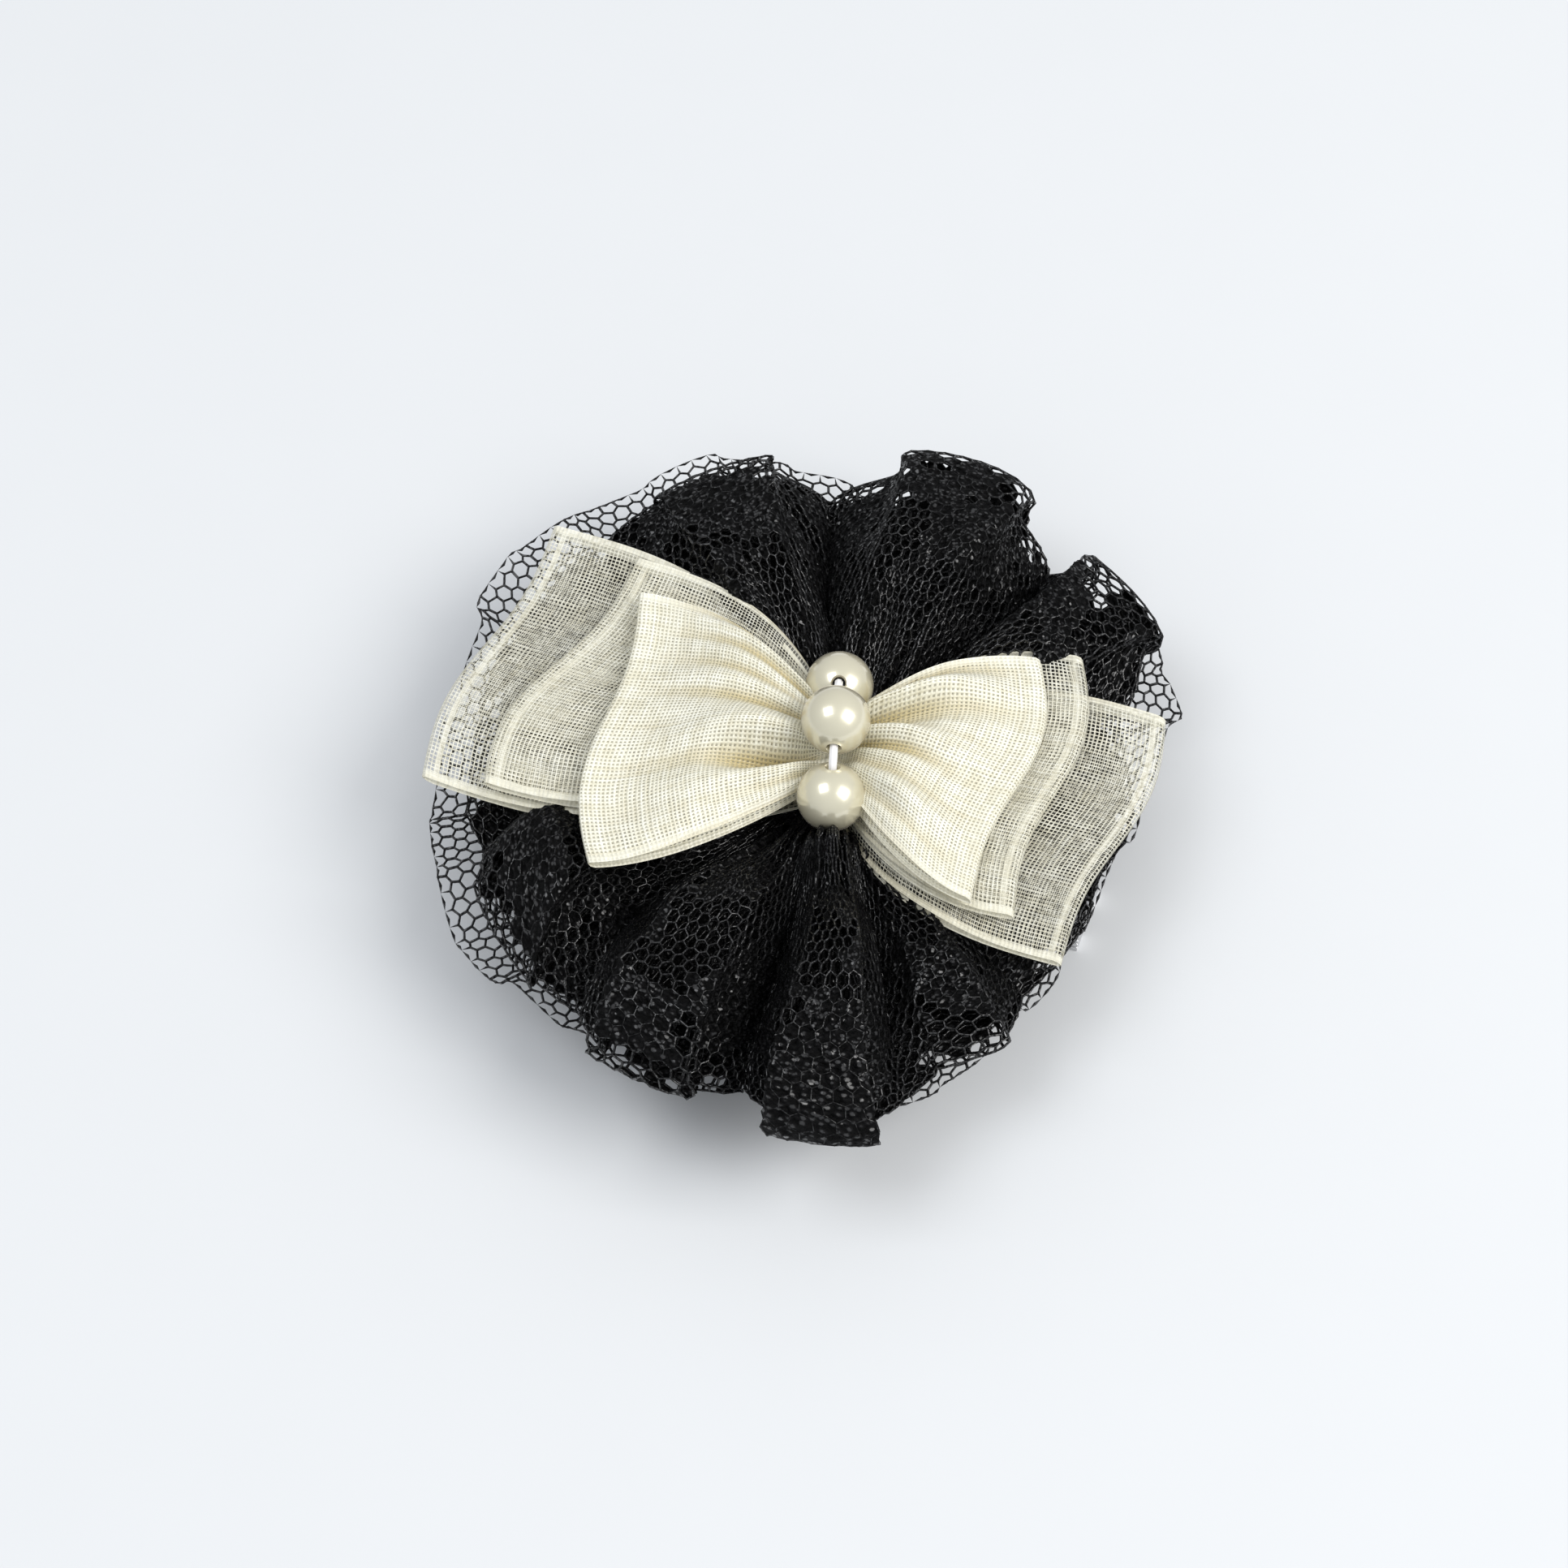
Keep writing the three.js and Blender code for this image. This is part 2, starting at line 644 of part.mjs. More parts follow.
// Straight through each pearl, bent only between them, and straight down at both ends.
function pearlString(endZ) {
  const footZ = sidePearlZ - (pearlRadius + 1) * Math.sin(tilt);
  const shoulder = pearlSpread - pearlDrop / Math.tan(tilt);
  const corners = [
    alongString(-stringFootReach, endZ),
    alongString(-stringFootReach, footZ),
    alongString(-shoulder, middlePearlZ),
    alongString(shoulder, middlePearlZ),
    alongString(stringFootReach, footZ),
    alongString(stringFootReach, endZ),
  ];
  const path = new THREE.CurvePath();
  let start = corners[0];
  for (let i = 1; i < corners.length - 1; i++) {
    const corner = corners[i];
    const back = corners[i - 1].clone().sub(corner).normalize();
    const ahead = corners[i + 1].clone().sub(corner).normalize();
    const trim = stringBend * Math.tan((Math.PI - back.angleTo(ahead)) / 2);
    const bendStart = corner.clone().addScaledVector(back, trim);
    const bendEnd = corner.clone().addScaledVector(ahead, trim);
    path.add(new THREE.LineCurve3(start, bendStart));
    path.add(new THREE.QuadraticBezierCurve3(bendStart, corner, bendEnd));
    start = bendEnd;
  }
  path.add(new THREE.LineCurve3(start, corners.at(-1)));
  const section = new THREE.Shape(Array.from({ length: 8 }, (_, i) => {
    const turn = i * Math.PI / 4;
    return new THREE.Vector2(stringRadius * Math.cos(turn), stringRadius * Math.sin(turn));
  }));
  return new THREE.ExtrudeGeometry(section, {
    steps: 70,
    bevelEnabled: false,
    extrudePath: path,
  });
}

// ---------------------------------------------------------------- assembly

const finishes = {
  steel: { color: 0xb9bbbd, roughness: 0.35, metalness: 1 },
  springSteel: { color: 0xc9cacb, roughness: 0.3, metalness: 1 },
  felt: { color: 0x17171a, roughness: 1, metalness: 0 },
  blackThread: { color: 0x101012, roughness: 0.8, metalness: 0 },
  lace: { color: 0x121214, roughness: 0.85, metalness: 0 },
  organza: { color: 0xf2ecd4, roughness: 0.5, metalness: 0 },
  pearl: { color: 0xf5eeda, roughness: 0.2, metalness: 0 },
  nylon: { color: 0xf4f0ea, roughness: 0.25, metalness: 0 },
};

const group = new THREE.Group();

function addPiece(name, geometry, finish) {
  const mesh = new THREE.Mesh(geometry, new THREE.MeshStandardMaterial(finishes[finish]));
  mesh.name = name;
  group.add(mesh);
  return mesh;
}

addPiece('base_plate', basePlate(), 'steel');
addPiece('hinge_pin', hingePin(), 'steel').position.set(pinX, 0, pinZ);
addPiece('swing_arm', swingArm(), 'steel');
addPiece('tension_spring', tensionSpring(), 'springSteel');
addPiece('clasp_bracket', claspBracket(), 'steel');
addPiece('clasp_rivet', claspRivet(), 'steel');
addPiece('clasp_tab_front', claspTab(-1), 'springSteel');
addPiece('clasp_tab_rear', claspTab(1), 'springSteel');

addPiece('felt_backing', feltBacking(), 'felt');
stitchPlaces.forEach(([x, y], i) => {
  addPiece(`plate_stitch_${i + 1}`, plateStitch(x), 'blackThread').position.set(x, y, 0);
});

addPiece('lace_under_ruffle', underRuffle(), 'lace');
addPiece('gathering_thread', gatheringThread(), 'blackThread');
addPiece('lace_top_ruffle', topRuffle(), 'lace');

tiers.forEach((tier) => addPiece(tier.name, ribbonTier(tier), 'organza'));

const latheAxis = new THREE.Vector3(0, 1, 0);
const pearls = [
  { name: 'pearl_front', side: -1 },
  { name: 'pearl_middle', side: 0 },
  { name: 'pearl_rear', side: 1 },
];
pearls.forEach(({ name, side }) => {
  const mesh = addPiece(name, pearl(), 'pearl');
  const z = side === 0 ? middlePearlZ : sidePearlZ;
  mesh.position.copy(alongString(side * pearlSpread, z));
  const bore = stringDirection.clone();
  if (side !== 0) {
    bore.multiplyScalar(Math.cos(tilt)).setZ(-side * Math.sin(tilt));
  }
  mesh.quaternion.setFromUnitVectors(latheAxis, bore);
});

const feet = [-1, 1].map((end) => alongString(end * stringFootReach, 0));
const knotZ = Math.min(...feet.map((foot) => overPlate(foot.x, feltBelow))) - fitGap - knotRadius;
addPiece('pearl_string', pearlString(knotZ + knotRadius + fitGap), 'nylon');
['string_knot_front', 'string_knot_rear'].forEach((name, i) => {
  const knot = addPiece(name, new THREE.SphereGeometry(knotRadius, 12, 8), 'nylon');
  knot.position.set(feet[i].x, feet[i].y, knotZ);
});

export default group;
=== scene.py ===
import json
import math

import bmesh
import bpy
import numpy as np
from mathutils import Matrix, Vector

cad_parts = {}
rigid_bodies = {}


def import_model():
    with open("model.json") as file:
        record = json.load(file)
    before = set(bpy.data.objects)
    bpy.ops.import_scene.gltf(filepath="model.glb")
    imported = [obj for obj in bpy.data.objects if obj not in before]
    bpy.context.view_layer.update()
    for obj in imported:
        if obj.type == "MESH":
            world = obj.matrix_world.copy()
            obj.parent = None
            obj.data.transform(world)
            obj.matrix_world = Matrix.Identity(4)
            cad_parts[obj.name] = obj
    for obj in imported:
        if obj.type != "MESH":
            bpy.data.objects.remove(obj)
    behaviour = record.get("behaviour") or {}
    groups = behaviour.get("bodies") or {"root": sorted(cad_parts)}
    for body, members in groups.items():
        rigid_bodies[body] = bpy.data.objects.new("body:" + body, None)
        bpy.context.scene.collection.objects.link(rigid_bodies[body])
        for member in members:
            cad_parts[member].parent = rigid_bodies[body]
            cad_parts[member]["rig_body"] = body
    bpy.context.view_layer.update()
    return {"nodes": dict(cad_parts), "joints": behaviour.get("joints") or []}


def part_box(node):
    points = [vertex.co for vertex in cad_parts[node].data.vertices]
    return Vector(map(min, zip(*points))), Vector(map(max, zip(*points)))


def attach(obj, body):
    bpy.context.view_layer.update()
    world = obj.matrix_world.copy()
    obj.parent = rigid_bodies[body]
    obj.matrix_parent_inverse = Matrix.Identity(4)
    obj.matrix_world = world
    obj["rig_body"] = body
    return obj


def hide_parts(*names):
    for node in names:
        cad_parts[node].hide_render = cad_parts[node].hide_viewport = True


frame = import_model()
mm = 0.001


# Places are all taken from the frame.
def middleOf(node):
    low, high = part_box(node)
    return (low + high) / 2


pearlPlaces = {name: middleOf(name) for name in ("pearl_front", "pearl_middle", "pearl_rear")}
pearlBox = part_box("pearl_middle")
pearlRadius = (pearlBox[1].z - pearlBox[0].z) / 2
waist = Vector((pearlPlaces["pearl_middle"].x, pearlPlaces["pearl_middle"].y, 0))
stringLine = pearlPlaces["pearl_rear"] - pearlPlaces["pearl_front"]
stringLine.z = 0
stringLine.normalize()
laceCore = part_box("bow_long_ribbon")[0].z - 0.3 * mm  # top of the lace under the waist


def deselect():
    if bpy.context.object and bpy.context.object.mode != "OBJECT":
        bpy.ops.object.mode_set(mode="OBJECT")
    bpy.ops.object.select_all(action="DESELECT")


def pick(piece):
    deselect()
    piece.select_set(True)
    bpy.context.view_layer.objects.active = piece


def smoothStep(value, low, high):
    share = np.clip((value - low) / (high - low), 0, 1)
    return share * share * (3 - 2 * share)


def mixed(a, b, share):
    return a + (b - a) * share


def hump(value, middle, half):
    return np.exp(-(((value - middle) / half) ** 2))


# Smooth unevenness from about -1 to 1, the same on each run. An axis is a pair: values, and
# the span of one wave.
def uneven(seed, *axes):
    draw = np.random.default_rng(seed)
    total = 0
    for _ in range(6):
        wave = draw.uniform(0, 2 * np.pi)
        for values, span in axes:
            wave = wave + values * draw.uniform(0.5, 1.6) * draw.choice([-1, 1]) * 2 * np.pi / span
        total = total + np.sin(wave)
    return total / 3.5


def meshPiece(name, points, faces, material, smooth=True, body="clip_body"):
    mesh = bpy.data.meshes.new(name)
    mesh.from_pydata(np.asarray(points).tolist(), [], np.asarray(faces).tolist())
    mesh.update()
    piece = bpy.data.objects.new(name, mesh)
    bpy.context.scene.collection.objects.link(piece)
    mesh.materials.append(material)
    mesh.polygons.foreach_set("use_smooth", [smooth] * len(mesh.polygons))
    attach(piece, body)
    return piece


# Each corner's place on the flat cloth, as a share of the cloth's size.
def giveCloth(piece, flat, size):
    layer = piece.data.uv_layers.new(name="OFBake")
    corners = np.zeros(len(piece.data.loops), np.int32)
    piece.data.loops.foreach_get("vertex_index", corners)
    places = np.asarray(flat)[corners] / np.asarray(size)
    layer.data.foreach_set("uv", places.astype(np.float32).ravel())


# Where there are two, the look wanders from the first to the second.
colours = {
    "lace": ((0.002, 0.002, 0.0023), (0.010, 0.0098, 0.0105)),
    "clothwork": ((0.0006, 0.0006, 0.0007), (0.021, 0.0205, 0.022)),
    "organza": ((0.72, 0.67, 0.49), (0.99, 0.975, 0.85)),
    # painted shade for the hollows of the ribbon's folds
    "organzaPaintedShade": (0.58, 0.49, 0.27),
    "pearl": ((0.70, 0.66, 0.49), (0.79, 0.75, 0.58)),
    # painted dark reflection at the pearls' outline
    "pearlPaintedReflection": (0.46, 0.375, 0.22),
    "steel": (0.62, 0.61, 0.60),
    "springSteel": (0.70, 0.70, 0.71),
    "felt": ((0.004, 0.004, 0.0045), (0.022, 0.021, 0.023)),
    "nylon": ((0.90, 0.87, 0.88), (0.99, 0.97, 0.97)),
    "thread": ((0.006, 0.006, 0.007), (0.03, 0.03, 0.033)),
}


# A shader value that adds, subtracts and multiplies like a number.
class Value:
    def __init__(self, finish, socket):
        self.finish = finish
        self.socket = socket

    def op(self, operation, other=None, flip=False):
        first, second = (other, self) if flip else (self, other)
        sockets = {0: first} if second is None else {0: first, 1: second}
        return self.finish.node("ShaderNodeMath", {"operation": operation}, sockets)

    def __add__(self, other):
        return self.op("ADD", other)

    __radd__ = __add__

    def __mul__(self, other):
        return self.op("MULTIPLY", other)

    def __sub__(self, other):
        return self.op("SUBTRACT", other)

    def __rsub__(self, other):
        return self.op("SUBTRACT", other, flip=True)

    def clamped(self):
        return self.op("MAXIMUM", 0.0).op("MINIMUM", 1.0)


# A material: its fixed values, and nodes that feed the rest.
class Finish:
    def __init__(self, name, **fixed):
        self.material = bpy.data.materials.new(name)
        self.material.use_nodes = True
        self.tree = self.material.node_tree
        self.shader = self.tree.nodes["Principled BSDF"]
        for socket, value in fixed.items():
            self.shader.inputs[socket.replace("_", " ")].default_value = value

    def node(self, kind, settings=None, sockets=None, output=0):
        made = self.tree.nodes.new(kind)
        for setting, value in (settings or {}).items():
            setattr(made, setting, value)
        for socket, value in (sockets or {}).items():
            self.join(made.inputs[socket], value)
        return Value(self, made.outputs[output])

    def join(self, socket, value):
        if isinstance(value, Value):
            self.tree.links.new(value.socket, socket)
        else:
            socket.default_value = value

    def feed(self, **sockets):
        for socket, value in sockets.items():
            self.join(self.shader.inputs[socket.replace("_", " ")], value)
        return self.material

    def place(self):
        return self.node("ShaderNodeTexCoord", output="Object")

    # the place on the flat cloth, times a number each way
    def cloth(self, across, along):
        flat = self.node("ShaderNodeUVMap", {"uv_map": "OFBake"})
        split = self.node("ShaderNodeSeparateXYZ", None, {0: flat})
        other = Value(self, split.socket.node.outputs[1])
        return split * across, other * along

    def noise(self, scale, detail=3.0, vector=None, rough=0.5):
        sockets = {"Scale": scale, "Detail": detail, "Roughness": rough}
        sockets["Vector"] = vector or self.place()
        return self.node("ShaderNodeTexNoise", None, sockets, output="Fac")

    def blend(self, share, first, second):
        node = self.tree.nodes.new("ShaderNodeMix")
        node.data_type = "RGBA"
        sockets = (node.inputs[0], node.inputs[6], node.inputs[7])
        for socket, value in zip(sockets, (share, first, second)):
            if isinstance(value, tuple):
                value = (*value, 1)
            self.join(socket, value)
        return Value(self, node.outputs[2])

    def bump(self, height, strength, distance):
        sockets = {"Height": height, "Strength": strength, "Distance": distance}
        return self.node("ShaderNodeBump", None, sockets, output="Normal")


def laceThread():
    finish = Finish("laceThread", Specular_IOR_Level=0.16, Coat_Roughness=0.24, Coat_IOR=1.65)
    tone = finish.noise(260, 2)
    fibres = finish.noise(3200, 3)
    colour = finish.blend(tone, *colours["lace"])
    return finish.feed(
        Base_Color=colour,
        Roughness=fibres * 0.3 + 0.3,
        Coat_Weight=((fibres - 0.46) * 9).clamped(),  # glints
        Normal=finish.bump(fibres, 0.8, 0.00014),
    )


knitting = {"long": 0.62 * mm, "wide": 0.5 * mm}  # size of a knitted grain


def laceCloth(size, name):
    finish = Finish(name, Specular_IOR_Level=0.1, Coat_Roughness=0.28, Coat_IOR=1.55)
    across, along = finish.cloth(size[0] / knitting["long"], size[1] / knitting["wide"])
    weave = finish.node("ShaderNodeCombineXYZ", None, {0: across, 1: along})
    grains = finish.node(
        "ShaderNodeTexVoronoi", None, {"Vector": weave, "Scale": 1.0}, output="Distance",
    )
    knots = finish.noise(1500, 4, rough=0.7)
    relief = grains * -1.2 + knots * 0.9 + 0.5
    # painted shade: the colour is darker down between the knitted grains and lighter on their
    # raised tops
    shade = (relief * relief).op("MINIMUM", 1.0)
    colour = finish.blend(shade, *colours["clothwork"])
    return finish.feed(
        Base_Color=colour,
        Roughness=0.6 - shade * 0.2,
        Coat_Weight=((relief - 0.5) * 7).clamped(),  # glints
        Normal=finish.bump(relief, 1.0, 0.0006),
    )


# ends are the places of the loops' ends along the ribbon; cover says how thick a thread has
# to be to show, from faintly to fully, and the least and the most that it hides.
def organza(size, name, ends, cover):
    finish = Finish(
        name, Specular_IOR_Level=0.5, Sheen_Weight=0.08, Sheen_Roughness=0.3,
        Sheen_Tint=(1.0, 0.96, 0.82, 1),
    )
    # across the ribbon's width and along its length, both counted in threads
    across, along = finish.cloth(size[0] / ribbon["pitch"], size[1] / ribbon["pitch"])
    flat = finish.cloth(size[0], size[1])
    wander = finish.noise(340, 2) - 0.5
    slub = finish.noise(900, 3) - 0.5
    warp = ((across + wander * 0.7) * (2 * math.pi)).op("COSINE") * 0.5 + 0.5
    weft = ((along + wander * 0.9) * (2 * math.pi)).op("COSINE") * 0.5 + 0.5
    thread = warp.op("MAXIMUM", weft)
    fill = finish.node(
        "ShaderNodeMapRange", {"interpolation_type": "SMOOTHSTEP"},
        {"Value": thread + slub * 0.5, "From Min": cover[0], "From Max": cover[1],
         "To Min": cover[2], "To Max": cover[3]},
    )
    edge = (flat[0] - size[0] / 2).op("ABSOLUTE")
    inner, outer = [size[0] / 2 - width for width in ribbon["selvedge"]]
    selvedge = finish.node(
        "ShaderNodeMapRange", None,
        {"Value": edge, "From Min": inner, "From Max": outer, "To Min": 0.0, "To Max": 1.0},
    )
    # pressed lines at the loops' ends and just inside them
    right, left = [(flat[1] - end).op("ABSOLUTE") for end in ends]
    near = right.op("MINIMUM", left)
    line = (near - ribbon["pressedLine"]).op("ABSOLUTE").op("MINIMUM", near)
    thin, wide = ribbon["pressedHalf"]
    pressed = finish.node(
        "ShaderNodeMapRange", None,
        {"Value": line, "From Min": thin, "From Max": wide, "To Min": 1.0, "To Max": 0.0},
    )
    dense = selvedge.op("MAXIMUM", pressed * 0.55)
    body = fill.op("MAXIMUM", dense * (0.8 + slub * 0.5))
    # satin streaks run along the threads both ways: in the colour they are painted glints, in the
    # roughness and the bump the satin's own gloss
    runWarp = finish.node("ShaderNodeCombineXYZ", None, {0: across * 0.8, 1: along * 0.05})
    runWeft = finish.node("ShaderNodeCombineXYZ", None, {0: across * 0.05, 1: along * 0.8})
    glintStreaks = finish.noise(1.0, 2, runWarp) * 0.5 + finish.noise(1.0, 2, runWeft) * 0.5
    glintStreaks = ((glintStreaks - 0.5) * 4.0 + 0.5 + slub * 0.9).clamped()
    # painted highlight: the streaks lighten the colour, and the threads and the dense edges are
    # lighter in their own colour
    tone = (glintStreaks * 0.65 + thread * 0.35).op("MAXIMUM", dense * 0.6)
    # painted shade: the colour turns darker and warmer in the hollows of the folds, for the shade
    # in them and the light that comes through the folds
    paintedFoldShade = finish.node("ShaderNodeAttribute", {"attribute_name": "paintedFoldShade"}, output="Fac")
    colour = finish.blend(tone, *colours["organza"])
    colour = finish.blend(paintedFoldShade, colour, colours["organzaPaintedShade"])
    return finish.feed(
        Base_Color=colour,
        Roughness=0.48 - glintStreaks * 0.26,
        Alpha=body,
        Normal=finish.bump(warp * 0.5 + weft * 0.5 + glintStreaks * 0.6, 0.6, 0.00016),
    )


def pearlFinish():
    finish = Finish(
        "ivoryPearl", Coat_Roughness=0.06, Coat_IOR=1.9, Specular_IOR_Level=0.6,
        Sheen_Weight=0.2, Sheen_Roughness=0.3, Sheen_Tint=(1.0, 0.93, 0.84, 1),
    )
    cloud = finish.noise(170, 3)
    # painted reflection: the colour turns darker and browner towards the pearl's outline as the
    # camera sees it
    rim = finish.node("ShaderNodeLayerWeight", None, {"Blend": 0.35}, output="Facing")
    body = finish.blend(cloud, *colours["pearl"])
    colour = finish.blend(rim * 0.5, body, colours["pearlPaintedReflection"])
    return finish.feed(
        Base_Color=colour,
        Metallic=0.4,
        Roughness=cloud * 0.08 + 0.22,
        Coat_Weight=1.0,
        Normal=finish.bump(finish.noise(2600, 2), 0.06, 0.00004),
    )


def metalFinish(name, tone, rough):
    finish = Finish(name)
    stretched = finish.node(
        "ShaderNodeMapping", None, {"Vector": finish.place(), "Scale": (60, 900, 900)},
    )
    brushed = finish.noise(1.0, 3, stretched)
    spots = finish.noise(220, 4)
    dark = tuple(c * 0.82 for c in tone)
    return finish.feed(
        Base_Color=finish.blend(spots, dark, tone),
        Metallic=1.0,
        Roughness=brushed * 0.16 + rough + spots * 0.1,
        Normal=finish.bump(brushed, 0.18, 0.00005),
    )


def feltFinish():
    finish = Finish("blackFelt", Sheen_Weight=0.08, Sheen_Roughness=0.6, Specular_IOR_Level=0.12)
    hair = finish.noise(2400, 5, rough=0.75)
    clump = finish.noise(420, 3)
    colour = finish.blend(hair, *colours["felt"])
    return finish.feed(
        Base_Color=colour,
        Roughness=0.96 - clump * 0.08,
        Normal=finish.bump(hair * 0.7 + clump * 0.5, 0.9, 0.0003),
    )


def nylonFinish():
    finish = Finish(
        "clearNylon", Specular_IOR_Level=0.5, Coat_Roughness=0.1,
        Subsurface_Weight=0.4, Subsurface_Radius=(0.002, 0.002, 0.002),
    )
    streak = finish.noise(1500, 3)
    colour = finish.blend(streak, *colours["nylon"])
    return finish.feed(
        Base_Color=colour,
        Roughness=streak * 0.12 + 0.16,
        Coat_Weight=0.6,
        Normal=finish.bump(streak, 0.2, 0.00005),
    )


def threadFinish():
    finish = Finish("blackSewingThread", Sheen_Weight=0.2, Sheen_Roughness=0.4)
    strand = finish.noise(2600, 3)
    colour = finish.blend(strand, *colours["thread"])
    return finish.feed(
        Base_Color=colour,
        Roughness=0.5 + strand * 0.2,
        Normal=finish.bump(strand, 0.7, 0.00015),
    )


net = {
    "pitch": 1.62 * mm,  # across a hexagon
    "thread": 0.175 * mm,  # radius
    "rib": 1.15,  # the threads along the strip's width are this much thicker
    "wobble": 0.09,  # of the pitch
    "pile": 0.45 * mm,  # how uneven the close-knitted parts are
    "patchEdge": 0.7,  # how high up the threads a patch's edge lies
    "scallop": 0.12 * mm,  # depth of the border's scallops
    "border": 1.25,  # the border thread is this much thicker
    "overlap": 0.04 * mm,  # threads run this far past the knots
    "shortest": 0.05 * mm,  # anything shorter is left out
}


# All the threads of a hexagon net on a flat strip: the two ends and the thickness of each,
# and the cells' middles.
def flatNet(width, length):
    pitch = net["pitch"]
    side = pitch / math.sqrt(3)
    columns = np.arange(-1, int(width / pitch) + 2)
    rows = np.arange(-1, int(length / (1.5 * side)) + 2)
    i, j = [a.ravel() for a in np.meshgrid(columns, rows)]
    x = pitch * (i + 0.5 * (j % 2))
    y = 1.5 * side * j
    half = pitch / 2
    low = np.stack([x + half, y - side / 2], 1)
    high = np.stack([x + half, y + side / 2], 1)
    top = np.stack([x, y + side], 1)
    left = np.stack([x - half, y + side / 2], 1)
    starts = np.concatenate([low, high, top])
    ends = np.concatenate([high, top, left])
    thick = np.repeat([net["rib"], 1, 1], len(x))
    middles = np.stack([x, y], 1)
    starts, ends = wobbled(starts), wobbled(ends)
    far = np.array([width, length])
    kept = inStrip(starts, far) | inStrip(ends, far)
    cellKept = inStrip(middles - [half, side], far) & inStrip(middles + [half, side], far)
    # a border thread closes the outer edge
    run = np.arange(0, width, pitch / 2)
    scallop = np.where(np.arange(len(run)) % 2, 0, net["scallop"])
    rim = np.stack([run, length - scallop], 1)
    starts = np.concatenate([np.clip(starts[kept], 0, far), rim[:-1]])
    ends = np.concatenate([np.clip(ends[kept], 0, far), rim[1:]])
    thick = np.concatenate([thick[kept], np.full(len(rim) - 1, net["border"])])
    real = np.linalg.norm(ends - starts, axis=1) > net["shortest"]
    return starts[real], ends[real], thick[real], middles[cellKept]


def inStrip(points, far):
    return ((points > 0) & (points < far)).all(axis=1)


# A corner moves a little, and the same wherever it is met.
def wobbled(points):
    key = np.round(points / (net["pitch"] * 0.05))
    turn = np.sin(key @ [12.9898, 78.233]) * 43758.5453
    other = np.sin(key @ [39.346, 11.135]) * 24634.6345
    shift = np.stack([turn - np.floor(turn), other - np.floor(other)], 1) - 0.5
    return points + shift * 2 * net["wobble"] * net["pitch"]


# The surface's outward direction at places on the flat strip.
def outwardAt(surface, flat):
    step = 0.02 * mm
    points = surface(flat[:, 0], flat[:, 1])
    along = surface(flat[:, 0] + step, flat[:, 1]) - points
    across = surface(flat[:, 0], flat[:, 1] + step) - points
    normal = np.cross(across, along)
    return normal / (np.linalg.norm(normal, axis=1)[:, None] + 1e-12)


# Three-sided threads laid on the surface.
def netPiece(name, surface, starts, ends, thick, size, material):
    flat = np.concatenate([starts, ends])
    points = surface(flat[:, 0], flat[:, 1])
    normal = outwardAt(surface, flat)
    count = len(starts)
    line = points[count:] - points[:count]
    reach = np.linalg.norm(line, axis=1)[:, None] + 1e-12
    line /= reach
    corners, flats = [], []
    for end in (0, 1):
        n = normal[end * count:(end + 1) * count]
        side = np.cross(n, line)
        side /= np.linalg.norm(side, axis=1)[:, None] + 1e-12
        n = np.cross(line, side)
        centre = points[end * count:(end + 1) * count] + line * net["overlap"] * (2 * end - 1)
        flatLine = ends - starts
        flatSide = np.stack([-flatLine[:, 1], flatLine[:, 0]], 1)
        flatSide /= np.linalg.norm(flatSide, axis=1)[:, None]
        for turn in (90, 210, 330):
            angle = math.radians(turn)
            radius = (net["thread"] * thick)[:, None]
            corners.append(centre + radius * (side * math.cos(angle) + n * math.sin(angle)))
            flats.append((starts, ends)[end] + radius * flatSide * math.cos(angle))
    points = np.stack(corners, 1).reshape(-1, 3)
    flats = np.stack(flats, 1).reshape(-1, 2)
    base = np.arange(count)[:, None] * 6
    faces = np.concatenate([base + [a, b, b + 3, a + 3] for a, b in ((0, 1), (1, 2), (2, 0))])
    piece = meshPiece(name, points, faces, material)
    giveCloth(piece, flats, size)
    return piece


# The close-knitted parts: an uneven patch fills each cell, its corners on the net's knots,
# a ring of points halfway in and one point in the middle.
def clothworkPiece(name, surface, middles, size, material):
    side = net["pitch"] / math.sqrt(3)
    turns = np.radians(np.arange(6) * 60 + 30)
    spokes = side * np.stack([np.cos(turns), np.sin(turns)], 1)
    rim = wobbled((middles[:, None] + spokes).reshape(-1, 2)).reshape(-1, 6, 2)
    ring = middles[:, None] + (spokes + np.roll(spokes, -1, 0)) * 0.3
    flat = np.concatenate([rim, ring, middles[:, None]], 1).reshape(-1, 2)
    points = surface(flat[:, 0], flat[:, 1])
    draw = np.random.default_rng(len(middles))
    grain = draw.uniform(-0.3, 0.55, (len(middles), 13)) * net["pile"]
    grain[:, :6] = net["thread"] * net["patchEdge"]
    points = points + outwardAt(surface, flat) * grain.reshape(-1, 1)
    base = np.arange(len(middles))[:, None] * 13
    wedges = []
    for k in range(6):
        after = (k + 1) % 6
        wedges += [[after, k, 6 + k], [after, 6 + k, 6 + after], [6 + after, 6 + k, 12]]
    faces = np.concatenate([base + wedge for wedge in wedges])
    piece = meshPiece(name, points, faces, material, smooth=False)
    giveCloth(piece, flat, size)
    return piece


# Values at the stations; q counts folds, a valley and a crest to each. broad widens the
# crests and sharpens the valleys.
def eased(values, q, broad):
    values = np.asarray(values, float)
    at = np.mod(q * 2, len(values) - 1)
    low = np.floor(at).astype(int)
    share = at - low
    valley = low % 2 == 0
    up = np.where(valley, share, 1 - share)
    up = 1 - (1 - up) ** broad
    share = np.where(valley, up, 1 - up)
    return values[low] * (1 - share) + values[low + 1] * share


